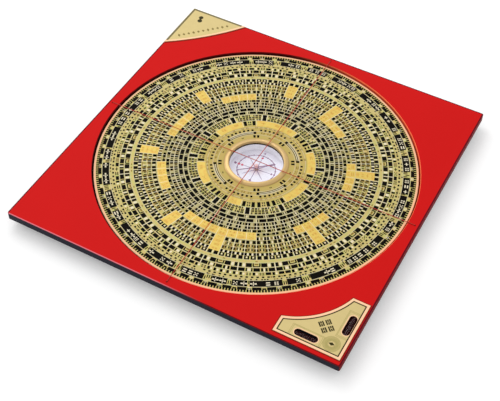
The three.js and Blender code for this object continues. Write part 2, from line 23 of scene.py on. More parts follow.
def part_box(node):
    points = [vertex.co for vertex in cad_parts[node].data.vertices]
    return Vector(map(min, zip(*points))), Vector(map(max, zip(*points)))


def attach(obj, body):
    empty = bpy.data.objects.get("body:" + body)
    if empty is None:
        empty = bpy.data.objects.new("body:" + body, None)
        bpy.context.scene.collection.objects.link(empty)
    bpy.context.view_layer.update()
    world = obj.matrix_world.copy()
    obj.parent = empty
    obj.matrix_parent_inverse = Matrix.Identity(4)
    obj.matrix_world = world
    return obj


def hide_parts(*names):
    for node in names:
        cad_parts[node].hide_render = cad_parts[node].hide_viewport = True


MM = 0.001
FULL_TURN = 2 * math.pi
QUARTER_TURN = math.pi / 2
ROUND_EDGE = math.radians(40)
WHITE = (1.0, 1.0, 1.0, 1.0)
ON_AXIS = Matrix.Identity(4).freeze()
Point = tuple[float, float]
Point3 = tuple[float, float, float]
Colour = tuple[float, float, float, float]
Bar = tuple[float, float, float, float]
Arc = tuple[int, int]
Dot = tuple[int, float, float]
Socket = bpy.types.NodeSocket

log = logging.getLogger("luopan")
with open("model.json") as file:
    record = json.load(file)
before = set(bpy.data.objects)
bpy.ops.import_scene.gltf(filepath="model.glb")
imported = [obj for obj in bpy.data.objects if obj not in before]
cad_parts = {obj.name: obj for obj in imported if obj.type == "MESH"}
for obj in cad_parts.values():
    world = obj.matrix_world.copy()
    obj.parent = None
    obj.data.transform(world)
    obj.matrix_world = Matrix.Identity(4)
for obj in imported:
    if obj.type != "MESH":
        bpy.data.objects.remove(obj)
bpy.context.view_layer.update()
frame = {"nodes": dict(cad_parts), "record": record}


# Colours and shaders


def srgb(red: float, green: float, blue: float) -> Colour:
    """Turns a display colour into the linear colour that a shader takes.

    Args:
        red: Red from 0 to 255.
        green: Green from 0 to 255.
        blue: Blue from 0 to 255.

    Returns:
        The linear colour, opaque.
    """
    shares = (channel / 255 for channel in (red, green, blue))
    linear = [s / 12.92 if s <= 0.04045 else ((s + 0.055) / 1.055) ** 2.4 for s in shares]
    return (linear[0], linear[1], linear[2], 1.0)


def shaded(colour: Colour, share: float) -> Colour:
    """Returns a colour made darker or brighter by one share."""
    return (colour[0] * share, colour[1] * share, colour[2] * share, 1.0)


class NodeGraph:
    """Adds and joins the nodes of one tree."""

    def __init__(self, tree: bpy.types.NodeTree) -> None:
        """Takes a tree and empties it."""
        self.tree = tree
        self.tree.nodes.clear()

    def add(self, kind: str, **settings: object) -> bpy.types.Node:
        """Adds a node and sets its properties.

        Args:
            kind: The node's type.
            settings: The node's properties by name.

        Returns:
            The node.
        """
        node = self.tree.nodes.new(kind)
        for key, value in settings.items():
            setattr(node, key, value)
        return node

    def join(self, source: Socket, target: Socket) -> None:
        """Links one socket to another."""
        self.tree.links.new(source, target)

    def give(self, target: Socket, value: object) -> None:
        """Links a socket, or sets its plain value.

        Args:
            target: The socket that takes the value.
            value: A socket or a plain value.
        """
        if isinstance(value, Socket):
            self.join(value, target)
        else:
            target.default_value = value

    def math(self, operation: str, first: object, second: object = 0.0) -> Socket:
        """Adds one sum.

        Args:
            operation: Blender's name of the operation.
            first: A number or socket.
            second: A number or socket.

        Returns:
            The result.
        """
        node = self.add("ShaderNodeMath", operation=operation)
        self.give(node.inputs[0], first)
        self.give(node.inputs[1], second)
        return node.outputs[0]

    def product(self, first: object, second: object) -> Socket:
        """Multiplies two numbers or sockets."""
        return self.math("MULTIPLY", first, second)

    def unsigned(self, value: object) -> Socket:
        """Returns a number without its sign."""
        return self.math("ABSOLUTE", value)

    def rest(self, share: object) -> Socket:
        """Returns what a share leaves of the whole."""
        return self.math("SUBTRACT", 1.0, share)

    def ranged(self, value: object, ends: dict[str, float], curve: str = "LINEAR") -> Socket:
        """Maps a number from one range onto another.

        Args:
            value: The number or socket.
            ends: The ends that aren't 0 or 1, by Blender's names for them.
            curve: Blender's name of the curve between the ends.

        Returns:
            The mapped number.
        """
        node = self.add("ShaderNodeMapRange", interpolation_type=curve)
        self.give(node.inputs["Value"], value)
        for name, end in ends.items():
            node.inputs[name].default_value = end
        return node.outputs["Result"]

    def either_shader(self, factor: Socket, first: Socket, second: Socket) -> Socket:
        """Mixes two shaders.

        Args:
            factor: The second shader's share.
            first: A shader.
            second: A shader.

        Returns:
            The mixed shader.
        """
        node = self.add("ShaderNodeMixShader")
        for source, target in zip((factor, first, second), node.inputs):
            self.join(source, target)
        return node.outputs[0]

    def backdrop_ray(self) -> Socket:
        """Tells the rays that see a plain backdrop from those that light the part.

        Returns:
            1 for the rays that see it, and 0 for the others.
        """
        path = self.add("ShaderNodeLightPath")
        seen = path.outputs["Is Camera Ray"]
        for kind in ("Is Glossy Ray", "Is Transmission Ray"):
            seen = self.math("MAXIMUM", seen, path.outputs[kind])
        return seen


class ShaderGraph(NodeGraph):
    """Writes the nodes of one material."""

    def __init__(self, name: str) -> None:
        """Starts a material with one Principled shader.

        Args:
            name: The material's name.
        """
        self.material = bpy.data.materials.new(name)
        self.material.use_nodes = True
        super().__init__(self.material.node_tree)
        self.output = self.add("ShaderNodeOutputMaterial")
        self.principled = self.add("ShaderNodeBsdfPrincipled")
        self.show(self.principled.outputs["BSDF"])
        coordinates = self.add("ShaderNodeTexCoord")
        self.place = coordinates.outputs["Object"]
        self.normal = coordinates.outputs["Normal"]

    def show(self, shader: Socket) -> None:
        """Makes a shader the material's surface."""
        self.join(shader, self.output.inputs["Surface"])

    def set(self, name: str, value: object) -> None:
        """Sets or links one socket of the Principled shader."""
        self.give(self.principled.inputs[name], value)

    def stretched(self, share: Sequence[float]) -> Socket:
        """Scales the place.

        Args:
            share: The scale along each axis.

        Returns:
            The scaled place.
        """
        node = self.add("ShaderNodeMapping")
        self.join(self.place, node.inputs["Vector"])
        node.inputs["Scale"].default_value = tuple(share)
        return node.outputs["Vector"]

    def noise(self, size: float, detail: float = 3.0, place: Socket | None = None) -> Socket:
        """Adds a soft noise.

        Args:
            size: The size of its patches.
            detail: How many finer layers it has.
            place: Where it is read, if not at the object's own place.

        Returns:
            Its strength from 0 to 1.
        """
        node = self.add("ShaderNodeTexNoise")
        self.join(place or self.place, node.inputs["Vector"])
        node.inputs["Scale"].default_value = 1 / size
        node.inputs["Detail"].default_value = detail
        return node.outputs["Fac"]

    def mix(self, factor: object, first: object, second: object) -> Socket:
        """Mixes two colours.

        Args:
            factor: The second colour's share.
            first: A colour or socket.
            second: A colour or socket.

        Returns:
            The mixed colour.
        """
        node = self.add("ShaderNodeMix", data_type="RGBA")
        self.give(node.inputs["Factor"], factor)
        self.give(node.inputs[6], first)
        self.give(node.inputs[7], second)
        return node.outputs[2]

    def spread(self, factor: object, low: float, high: float) -> Socket:
        """Maps 0 to 1 onto a range of numbers."""
        return self.ranged(factor, {"To Min": low, "To Max": high})

    def step(self, value: object, edge: float, blur: float) -> Socket:
        """Returns 0 below an edge and 1 above it, with a short blur between."""
        ends = {"From Min": edge - blur / 2, "From Max": edge + blur / 2}
        return self.ranged(value, ends, "SMOOTHSTEP")

    def between(self, value: object, low: float, high: float, blur: float) -> Socket:
        """Returns 1 between two edges and 0 outside them, with a short blur at each."""
        below = self.rest(self.step(value, high, blur))
        return self.product(self.step(value, low, blur), below)

    def part(self, vector: Socket, name: str) -> Socket:
        """Splits a vector.

        Args:
            vector: The vector.
            name: The axis whose part is wanted.

        Returns:
            That part.
        """
        node = self.add("ShaderNodeSeparateXYZ")
        self.join(vector, node.inputs[0])
        return node.outputs[name]

    def axis(self, name: str) -> Socket:
        """Returns one axis of the place."""
        return self.part(self.place, name)

    def facing(self, name: str) -> Socket:
        """Returns how far the surface faces along one axis, from -1 to 1."""
        return self.part(self.normal, name)

    def sideways(self) -> Socket:
        """Returns 1 on the faces that look left or right."""
        return self.step(self.unsigned(self.facing("X")), 0.6, 0.2)

    def radius(self) -> Socket:
        """Measures the distance from the compass's upright axis.

        Returns:
            The distance.
        """
        node = self.add("ShaderNodeVectorMath", operation="LENGTH")
        self.join(self.stretched((1, 1, 0)), node.inputs[0])
        return node.outputs["Value"]

    def bump(self, height: Socket, depth: float) -> None:
        """Gives the shader a bump.

        Args:
            height: The bump's height from 0 to 1.
            depth: Its depth in metres.
        """
        node = self.add("ShaderNodeBump")
        self.join(height, node.inputs["Height"])
        node.inputs["Distance"].default_value = depth
        self.set("Normal", node.outputs["Normal"])


# Finishes


@dataclass(frozen=True)
class Finish(ABC):
    """A surface finish, made once and shared by every piece that has it."""

    name: str

    def material(self) -> bpy.types.Material:
        """Gives the finish's material, and writes it at its first use.

        Returns:
            The material.
        """
        found = bpy.data.materials.get(self.name)
        if found:
            return found
        graph = ShaderGraph(self.name)
        self.paint(graph)
        return graph.material

    @abstractmethod
    def paint(self, graph: ShaderGraph) -> None:
        """Writes the finish's nodes."""


@dataclass(frozen=True)
class Mottled(Finish):
    """A moulded, printed or cut surface with soft mottling and a fine grain."""

    colour: Colour
    contrast: float = 0.06
    patch: float = 18 * MM
    grain: float = 0.5 * MM
    grain_depth: float = 0.004 * MM
    grain_share: float = 0.3
    roughness: float = 0.4
    roughness_spread: float = 0.06
    metallic: float = 0.0
    specular: float = 0.5
    coat: float = 0.0
    coat_roughness: float = 0.2

    def tone(self, graph: ShaderGraph) -> Socket:
        """Mixes the finish's colour.

        Args:
            graph: The material's graph.

        Returns:
            The mottled colour.
        """
        cloud = graph.product(graph.noise(self.patch, 4), 1 - self.grain_share)
        speck = graph.product(graph.noise(self.grain, 2), self.grain_share)
        dark, bright = (shaded(self.colour, 1 + s * self.contrast) for s in (-1, 1))
        return graph.mix(graph.math("ADD", cloud, speck), dark, bright)

    def paint(self, graph: ShaderGraph) -> None:
        """Writes the finish's nodes."""
        graph.set("Base Color", self.tone(graph))
        self.gloss(graph)

    def gloss(self, graph: ShaderGraph) -> None:
        """Writes the roughness, the grain and the plain values.

        Args:
            graph: The material's graph.
        """
        cloud = graph.noise(self.patch / 3, 5)
        low = self.roughness - self.roughness_spread
        high = self.roughness + self.roughness_spread
        graph.set("Roughness", graph.spread(cloud, low, high))
        graph.bump(graph.noise(self.grain, 2), self.grain_depth)
        graph.set("Metallic", self.metallic)
        graph.set("Specular IOR Level", self.specular)
        graph.set("Coat Weight", self.coat)
        graph.set("Coat Roughness", self.coat_roughness)


@dataclass(frozen=True)
class Printed(Mottled):
    """A thin printed ink."""

    contrast: float = 0.15
    patch: float = 4 * MM
    roughness: float = 0.5
    specular: float = 0.1


@dataclass(frozen=True)
class Blotched(Mottled):
    """A mottled surface with soft blotches of a second colour."""

    blotch: Colour = srgb(214, 158, 74)
    blotch_size: float = 3 * MM
    blotch_share: float = 0.6

    def tone(self, graph: ShaderGraph) -> Socket:
        """Mixes the finish's colours.

        Args:
            graph: The material's graph.

        Returns:
            The mottled colour with the blotches over it.
        """
        noise = graph.noise(self.blotch_size, 2, graph.stretched((1, 1, 0)))
        cover = graph.product(graph.step(noise, 0.55, 0.3), self.blotch_share)
        return graph.mix(cover, super().tone(graph), self.blotch)


def well_light_and_shade(graph: ShaderGraph, dark: Colour, bright: Colour) -> Socket:
    """Returns the well's paint: painted shade at its left and a painted lit colour at its right."""
    blur = 80 * MM
    return graph.mix(graph.step(graph.axis("X"), 0.0, blur), dark, bright)


@dataclass(frozen=True)
class RedSheet(Mottled):
    """A red laminate, darker in a thin band along its top's left, right and back edges, with a
    painted highlight on its front left arris and painted shade and light in its well.
    """

    top_facing: float = 0.9
    arris_facing: float = 0.35
    arris: Colour = srgb(112, 16, 24)
    side: Colour = srgb(140, 12, 16)
    front: Colour = srgb(44, 36, 46)
    # Darker red for a thin band along the top's left, right and back edges.
    edge_dark: Colour = srgb(92, 12, 26)
    edge_dark_start: float = 142.8 * MM
    # Painted highlight: pale pink for the light caught on the front left arris, and where it
    # reaches.
    arris_highlight: Colour = srgb(226, 122, 134)
    arris_highlight_start: float = 143.3 * MM
    left_reach: float = -10 * MM
    left_blur: float = 60 * MM
    # Painted shade and painted light of the well: dark at its left, bright orange at its right.
    well_shade: Colour = srgb(100, 20, 20)
    well: Colour = srgb(255, 124, 80)
    well_radius: float = 137 * MM

    def paint(self, graph: ShaderGraph) -> None:
        """Writes the top's red, the arris and the cut sides.

        Args:
            graph: The material's graph.
        """
        up = graph.facing("Z")
        across, along = graph.axis("X"), graph.axis("Y")
        left = graph.step(graph.product(across, -1.0), self.left_reach, self.left_blur)
        front = graph.step(graph.product(along, -1.0), self.arris_highlight_start, 0.2 * MM)
        # Mask of the painted highlight: the front edge, on the left.
        pale = graph.product(front, left)
        # Paints the highlight over the arris faces at the front left.
        arris = graph.mix(pale, self.arris, self.arris_highlight)
        side = graph.mix(graph.sideways(), graph.mix(left, self.arris, self.front), self.side)
        cut = graph.mix(graph.step(up, self.arris_facing, 0.2), side, arris)
        outside = graph.step(graph.radius(), self.well_radius, 1 * MM)
        # The well's wall and arris get painted shade at the left and painted light at the right.
        edge = graph.mix(outside, well_light_and_shade(graph, self.well_shade, self.well), cut)
        # The top is darker in a thin band along its left, right and back edges.
        reach = graph.math("MAXIMUM", graph.unsigned(across), along)
        edge_dark_band = graph.step(reach, self.edge_dark_start, 0.4 * MM)
        # Paints the highlight over the top's front left edge.
        top = graph.mix(pale, graph.mix(edge_dark_band, self.tone(graph), self.edge_dark), self.arris_highlight)
        graph.set("Base Color", graph.mix(graph.step(up, self.top_facing, 0.1), edge, top))
        self.gloss(graph)


@dataclass(frozen=True)
class LayeredBoard(Mottled):
    """A black pressed board with faint layers, dark red on its sides, and red paint in its well
    with painted shade at its left and painted light at its right.
    """

    layer: float = 0.35 * MM
    layer_contrast: float = 0.4
    layer_stretch: Point3 = (0.02, 0.02, 1)
    # The well's red, painted in shade at its left and lit at its right.
    well_shade: Colour = srgb(60, 14, 14)
    well: Colour = srgb(210, 84, 54)
    well_radius: float = 134.5 * MM
    well_floor: float = 7 * MM
    wine: Colour = srgb(110, 10, 14)
    wine_start: float = 8.2 * MM

    def paint(self, graph: ShaderGraph) -> None:
        """Writes the mottled black, its layers along Z and the paint.

        Args:
            graph: The material's graph.
        """
        lines = graph.noise(self.layer, 1, graph.stretched(self.layer_stretch))
        upright = graph.rest(graph.unsigned(graph.facing("Z")))
        share = graph.product(lines, graph.product(upright, self.layer_contrast))
        board = graph.mix(share, self.tone(graph), shaded(self.colour, 1.8))
        height = graph.axis("Z")
        edge = graph.product(graph.sideways(), graph.step(height, self.wine_start, 0.5 * MM))
        high = graph.step(height, self.well_floor, 0.1 * MM)
        inside = graph.rest(graph.step(graph.radius(), self.well_radius, 0.1 * MM))
        painted = graph.mix(edge, board, self.wine)
        # The well's red with painted shade at its left and painted light at its right.
        well = well_light_and_shade(graph, self.well_shade, self.well)
        graph.set("Base Color", graph.mix(graph.product(high, inside), painted, well))
        self.gloss(graph)


@dataclass(frozen=True)
class Turned(Mottled):
    """A metal turned on a lathe, with fine rings round the compass's axis."""

    cut: float = 0.12 * MM
    cut_depth: float = 0.003 * MM
    cut_gloss: Point = (-0.05, 0.08)

    def gloss(self, graph: ShaderGraph) -> None:
        """Writes the turning marks over the plain gloss.

        Args:
            graph: The material's graph.
        """
        super().gloss(graph)
        node = graph.add("ShaderNodeCombineXYZ")
        graph.join(graph.radius(), node.inputs["X"])
        graph.join(graph.axis("Z"), node.inputs["Z"])
        rings = graph.noise(self.cut, 2, node.outputs[0])
        graph.bump(rings, self.cut_depth)
        low, high = (self.roughness + share for share in self.cut_gloss)
        graph.set("Roughness", graph.spread(rings, low, high))


@dataclass(frozen=True)
class Band:
    """A painted band round the compass's axis, between two radii."""

    start: float
    end: float
    colour: Colour
    blur: float = 0.2 * MM
    cover: float = 1.0


@dataclass(frozen=True)
class Banded(Turned):
    """A round piece with painted bands, metal only where it is bare, and a faint second tint."""

    bands: tuple[Band, ...] = ()
    tint: Colour = srgb(212, 170, 114)
    tint_share: float = 0.0
    tint_size: float = 3 * MM

    def paint(self, graph: ShaderGraph) -> None:
        """Writes the ground, the bands over it and the bare metal's share.

        Args:
            graph: The material's graph.
        """
        self.gloss(graph)
        radius = graph.radius()
        noise = graph.noise(self.tint_size, 3, graph.stretched((1, 1, 0)))
        tinted = graph.product(graph.step(noise, 0.5, 0.35), self.tint_share)
        tone: object = graph.mix(tinted, self.tone(graph), self.tint)
        bare: object = 1.0
        for band in self.bands:
            inside = graph.between(radius, band.start, band.end, band.blur)
            share = graph.product(inside, band.cover)
            tone = graph.mix(share, tone, band.colour)
            bare = graph.product(bare, graph.rest(share))
        graph.set("Base Color", tone)
        graph.set("Metallic", graph.product(bare, self.metallic))


@dataclass(frozen=True)
class StarCard(Mottled):
    """The white card under the needle, with a faint blush round its star."""

    blush: Colour = srgb(236, 190, 196)
    blush_radius: float = 9 * MM
    blush_patch: float = 4 * MM

    def paint(self, graph: ShaderGraph) -> None:
        """Writes the paper's white and the blush.

        Args:
            graph: The material's graph.
        """
        share = graph.rest(graph.step(graph.radius(), self.blush_radius / 2, self.blush_radius))
        patchy = graph.product(share, graph.spread(graph.noise(self.blush_patch, 2), 0.3, 1.0))
        graph.set("Base Color", graph.mix(patchy, self.tone(graph), self.blush))
        self.gloss(graph)


@dataclass(frozen=True)
class Pane(Finish):
    """Clear glass that lets the lamps through to what it covers."""

    colour: Colour = srgb(250, 253, 252)
    roughness: float = 0.02
    ior: float = 1.5
    streak: float = 30 * MM

    def paint(self, graph: ShaderGraph) -> None:
        """Writes the glass and its clear shadow.

        Args:
            graph: The material's graph.
        """
        graph.set("Base Color", self.colour)
        graph.set("Transmission Weight", 1.0)
        graph.set("IOR", self.ior)
        streaks = graph.noise(self.streak)
        graph.set("Roughness", graph.spread(streaks, self.roughness / 2, self.roughness))
        clear = graph.add("ShaderNodeBsdfTransparent")
        clear.inputs["Color"].default_value = self.colour
        shadow = graph.add("ShaderNodeLightPath").outputs["Is Shadow Ray"]
        glass = graph.principled.outputs["BSDF"]
        graph.show(graph.either_shader(shadow, glass, clear.outputs[0]))


@dataclass(frozen=True)
class Sheer(Mottled):
    """A tinted clear layer that shows what lies under it."""

    alpha: float = 0.3

    def gloss(self, graph: ShaderGraph) -> None:
        """Writes the gloss and how much of the layer covers."""
        super().gloss(graph)
        graph.set("Alpha", self.alpha)


class Slot(Enum):
    """The record's material slots."""

    BOARD = "board_black"
    SHEET = "sheet_red"
    PLATE = "plate_gold"
    BRASS = "brass_turned"
    STEEL = "steel_bright"
    BLUED = "steel_blued"
    GLASS = "glass_clear"
    TUBE = "level_glass"
    SPIRIT = "level_spirit"
    SETTING = "level_black"
    RUBBER = "seal_rubber"
    CARD = "card_white"
    THREAD = "thread_red"
    SLIP = "slip_white"
    RUBY = "jewel_ruby"


FINISHES: dict[Slot, Finish] = {
    Slot.BOARD: LayeredBoard(
        "board black", srgb(36, 36, 46), contrast=0.25, grain=0.3 * MM, roughness=0.6,
        specular=0.06,
    ),
    Slot.SHEET: RedSheet(
        "sheet red", srgb(202, 22, 21), contrast=0.05, patch=45 * MM, grain=0.8 * MM,
        roughness=0.45, roughness_spread=0.03, specular=0.03,
    ),
    Slot.PLATE: Mottled(
        "plate gold", srgb(206, 186, 127), contrast=0.08, patch=7 * MM, grain=0.25 * MM,
        roughness=0.42, metallic=0.15, specular=0.15,
    ),
    Slot.BRASS: Turned(
        "brass turned", srgb(232, 196, 128), contrast=0.05, roughness=0.26, metallic=1.0,
    ),
    Slot.STEEL: Turned(
        "steel bright", srgb(178, 180, 184), contrast=0.05, roughness=0.26, metallic=1.0,
    ),
    Slot.BLUED: Mottled(
        "steel blued", srgb(140, 104, 136), contrast=0.2, patch=3 * MM, roughness=0.5,
        metallic=0.2,
    ),
    Slot.GLASS: Pane("glass clear", ior=1.33),
    Slot.TUBE: Sheer(
        "level glass", srgb(56, 24, 28), patch=6 * MM, grain_depth=0.0, roughness=0.18,
        roughness_spread=0.03, specular=0.4, alpha=0.25,
    ),
    Slot.SPIRIT: Sheer(
        "level spirit", srgb(64, 20, 24), patch=6 * MM, grain_depth=0.0, roughness=0.2,
        roughness_spread=0.02, specular=0.2, alpha=0.6,
    ),
    Slot.SETTING: Mottled(
        "level black", srgb(48, 16, 18), contrast=0.15, patch=4 * MM, grain_depth=0.0,
        roughness=0.6, specular=0.2,
    ),
    Slot.RUBBER: Mottled(
        "seal rubber", srgb(38, 38, 38), contrast=0.15, patch=4 * MM, roughness=0.8,
    ),
    Slot.CARD: StarCard(
        "card white", srgb(244, 237, 250), contrast=0.03, patch=6 * MM, roughness=0.7,
        specular=0.2,
    ),
    Slot.THREAD: Mottled(
        "thread red", srgb(180, 48, 34), contrast=0.2, patch=1.2 * MM, grain=0.25 * MM,
        grain_depth=0.05 * MM, roughness=0.5, specular=0.3,
    ),
    Slot.SLIP: Mottled("slip white", srgb(230, 226, 216), contrast=0.03, roughness=0.5),
    Slot.RUBY: Mottled(
        "jewel ruby", srgb(156, 18, 50), contrast=0.1, patch=1 * MM, roughness=0.08, coat=1.0,
    ),
}

NODE_FINISHES: dict[str, Finish] = {
    "dial_face_plate": Banded(
        "face gold", srgb(186, 184, 106), contrast=0.14, patch=3.5 * MM, grain=0.3 * MM,
        roughness=0.46, metallic=0.15, specular=0.15, tint_share=0.55,
        bands=(
            Band(20.0 * MM, 44.0 * MM, srgb(184, 156, 80), blur=8 * MM, cover=0.65),
            Band(56.0 * MM, 71.0 * MM, srgb(178, 168, 122), blur=2 * MM, cover=0.8),
            Band(71.0 * MM, 85.5 * MM, srgb(160, 148, 90), blur=2 * MM, cover=0.7),
            Band(115.6 * MM, 120.3 * MM, srgb(196, 180, 116), blur=1 * MM, cover=0.7),
            Band(131.2 * MM, 140 * MM, srgb(244, 190, 148)),
        ),
    ),
    "dial_disc": Banded(
        "dial core", srgb(44, 36, 36), contrast=0.2, roughness=0.5, specular=0.2,
        bands=(Band(132.3 * MM, 140 * MM, srgb(252, 208, 168)),),
    ),
    "capsule_cup": Banded(
        "cup enamelled", srgb(216, 178, 108), contrast=0.05, roughness=0.3, metallic=1.0,
        bands=(Band(-1 * MM, 22.35 * MM, srgb(253, 249, 255)),),
    ),
    "bezel_ring": Turned(
        "bezel gilt", srgb(200, 168, 112), contrast=0.05, roughness=0.3, metallic=0.5,
        specular=0.3,
    ),
    "needle_cap": Mottled(
        "cap copper", srgb(236, 184, 184), contrast=0.1, patch=1 * MM, roughness=0.4,
        metallic=0.15,
    ),
}


class Ink(Enum):
    """The inks and foils of the printed faces, with the shadow painted round the plates and the
    highlight painted on the window lips.
    """

    BLACK = Printed("ink black", srgb(12, 9, 5), 0.3, 5 * MM, specular=0.03)
    PALE = Printed("ink pale", srgb(204, 196, 172), 0.05, 9 * MM)
    IVORY = Printed("ink ivory", srgb(224, 214, 184), 0.05, 7 * MM)
    FOIL = Blotched(
        "foil gold", srgb(213, 187, 93), 0.08, 6 * MM, roughness=0.4, metallic=0.25, specular=0.15,
    )
    DUN = Printed("ink dun", srgb(132, 106, 48), 0.25, 3 * MM, specular=0.05)
    # Bare peach of the plates' margins, also used for the highlight painted on the lips round the
    # level windows.
    BARE_AND_HIGHLIGHT = Printed("plate bare and highlight", srgb(252, 204, 162), 0.04, 8 * MM, roughness=0.45, specular=0.2)
    OLIVE = Printed("ink olive", srgb(56, 50, 18), 0.2)
    TAN = Printed("ink tan", srgb(134, 118, 64), 0.1)
    AMBER = Printed("ink amber", srgb(196, 148, 62), patch=3 * MM)
    # Dark red painted on the red sheet as the plates' shadow.
    PAINTED_SHADOW = Printed("ink painted shadow", srgb(142, 24, 14), patch=5 * MM, specular=0.05)
    MOSS = Printed("ink moss", srgb(120, 110, 74), 0.25, 5 * MM)
    SHADE = Printed("ink shade", srgb(176, 162, 98), 0.08, specular=0.2)
    VIOLET = Printed("ink violet", srgb(150, 108, 146), patch=2 * MM, roughness=0.6)
    SLATE = Printed("ink slate", srgb(154, 128, 166), patch=2 * MM, roughness=0.6)
    CRIMSON = Printed("ink crimson", srgb(214, 84, 112), 0.12, 2 * MM, roughness=0.6)


# Outlines


def polar(radius: float, angle: float) -> Point:
    """Returns the point at a distance and an angle."""
    return (radius * math.cos(angle), radius * math.sin(angle))


def moved(outline: Iterable[Sequence[float]], x: float, y: float) -> list[Point]:
    """Returns an outline moved along both axes."""
    return [(x + corner[0], y + corner[1]) for corner in outline]


def disc(radius: float, sides: int) -> list[Point]:
    """Returns a round outline, counterclockwise."""
    return [polar(radius, FULL_TURN * i / sides) for i in range(sides)]


def box(left: float, front: float, right: float, back: float) -> list[Point]:
    """Returns a rectangle's corners, counterclockwise."""
    return [(left, front), (right, front), (right, back), (left, back)]


def ray(angle: float, start: float, end: float, half: float, end_half: float) -> list[Point]:
    """Returns a thin bar that points away from the middle.

    Args:
        angle: Its direction.
        start: Where it starts, from the middle.
        end: Where it ends.
        half: Half its width at the start.
        end_half: Half its width at the end.

    Returns:
        Its outline, counterclockwise.
    """
    along = Vector(polar(1.0, angle))
    side = Vector((-along.y, along.x))
    corners = (along * start - side * half, along * end - side * end_half)
    mirrored = (along * end + side * end_half, along * start + side * half)
    return [tuple(corner) for corner in (*corners, *mirrored)]


def lozenge(long_half: float, short_half: float) -> list[Point]:
    """Draws a lozenge whose long axis points to the back left.

    Args:
        long_half: Half its long axis.
        short_half: Half its short axis.

    Returns:
        Its outline, counterclockwise.
    """
    along = Vector((-1, 1)).normalized() * long_half
    side = Vector((1, 1)).normalized() * short_half
    return [tuple(corner) for corner in (along, -side, -along, side)]


def corner_line(length: float, width: float) -> list[Point]:
    """Returns a line down and right from a corner, along both its edges, counterclockwise."""
    return [
        (0, 0), (0, -length), (width, -length), (width, -width), (length, -width), (length, 0),
    ]


# Meshes


class SolidWriter:
    """Collects closed solids and makes one mesh object of them."""

    arc_step: float = math.radians(2.5)
    hoop_steps: int = 240

    def __init__(self) -> None:
        """Starts an empty mesh."""
        self.points: list[Point3] = []
        self.faces: list[tuple[int, ...]] = []

    def prism(self, outline: Sequence[Point], low: float, high: float) -> None:
        """Adds an upright prism.

        Args:
            outline: Its corners, counterclockwise.
            low: Its underside.
            high: Its top.
        """
        start = len(self.points)
        count = len(outline)
        self.points += [(x, y, low) for x, y in outline]
        self.points += [(x, y, high) for x, y in outline]
        self.faces.append(tuple(start + i for i in reversed(range(count))))
        self.faces.append(tuple(start + count + i for i in range(count)))
        for i in range(count):
            j = (i + 1) % count
            self.faces.append((start + i, start + j, start + count + j, start + count + i))

    def strip(
        self, inner: Sequence[Point], outer: Sequence[Point], low: float, high: float,
    ) -> None:
        """Adds a closed band between two outlines with as many corners each.

        Args:
            inner: The inner outline, counterclockwise.
            outer: The outer outline, counterclockwise.
            low: Its underside.
            high: Its top.
        """
        start = len(self.points)
        count = len(inner)
        lift = 2 * count
        for height in (low, high):
            self.points += [(x, y, height) for x, y in (*inner, *outer)]
        for i in range(count):
            j = (i + 1) % count
            a, b, c, d = (start + i, start + j, start + count + j, start + count + i)
            self.faces.append((a, b, c, d))
            self.faces.append((d + lift, c + lift, b + lift, a + lift))
            self.faces.append((b, a, a + lift, b + lift))
            self.faces.append((d, c, c + lift, d + lift))

    def arc_bar(
        self, inner: float, outer: float, start: float, end: float, low: float, high: float,
    ) -> None:
        """Adds a bar bent round the compass's axis.

        Args:
            inner: Its inner radius.
            outer: Its outer radius.
            start: The angle where it starts.
            end: The angle where it ends, past the start.
            low: Its underside.
            high: Its top.
        """
        steps = max(1, math.ceil((end - start) / self.arc_step))
        angles = [start + (end - start) * i / steps for i in range(steps + 1)]
        outline = [polar(outer, angle) for angle in angles]
        outline += [polar(inner, angle) for angle in reversed(angles)]
        self.prism(outline, low, high)

    def hoop(self, inner: float, outer: float, low: float, high: float) -> None:
        """Adds a flat hoop round the compass's axis."""
        self.strip(disc(inner, self.hoop_steps), disc(outer, self.hoop_steps), low, high)

    def lathe(
        self, profile: Sequence[Point], steps: int, place: Matrix = ON_AXIS,
    ) -> None:
        """Adds a solid turned about Z.

        Args:
            profile: Closed outline of (radius, height) points, counterclockwise, off the axis.
            steps: Facets in a full turn.
            place: Where the solid goes, if not on the compass's axis.
        """
        start = len(self.points)
        count = len(profile)
        for i in range(steps):
            angle = FULL_TURN * i / steps
            for radius, height in profile:
                self.points.append(tuple(place @ Vector((*polar(radius, angle), height))))
        for i in range(steps):
            this, following = start + i * count, start + ((i + 1) % steps) * count
            for k in range(count):
                after = (k + 1) % count
                self.faces.append((this + k, following + k, following + after, this + after))

    def make(self, name: str, finish: Finish, smooth: float = 0.0) -> bpy.types.Object:
        """Makes the object.

        Args:
            name: The piece's name.
            finish: Its finish.
            smooth: The angle up to which edges are shaded round, or 0 for flat faces.

        Returns:
            The object, linked to the scene.
        """
        mesh = bpy.data.meshes.new(name)
        mesh.from_pydata(self.points, [], self.faces)
        mesh.materials.append(finish.material())
        if smooth:
            mesh.shade_smooth()
            mesh.set_sharp_from_angle(angle=smooth)
        mesh.update()
        made = bpy.data.objects.new(name, mesh)
        bpy.context.scene.collection.objects.link(made)
        log.info("%s: %d faces, %s", name, len(self.faces), finish.name)
        return made


# Finishing the CAD nodes


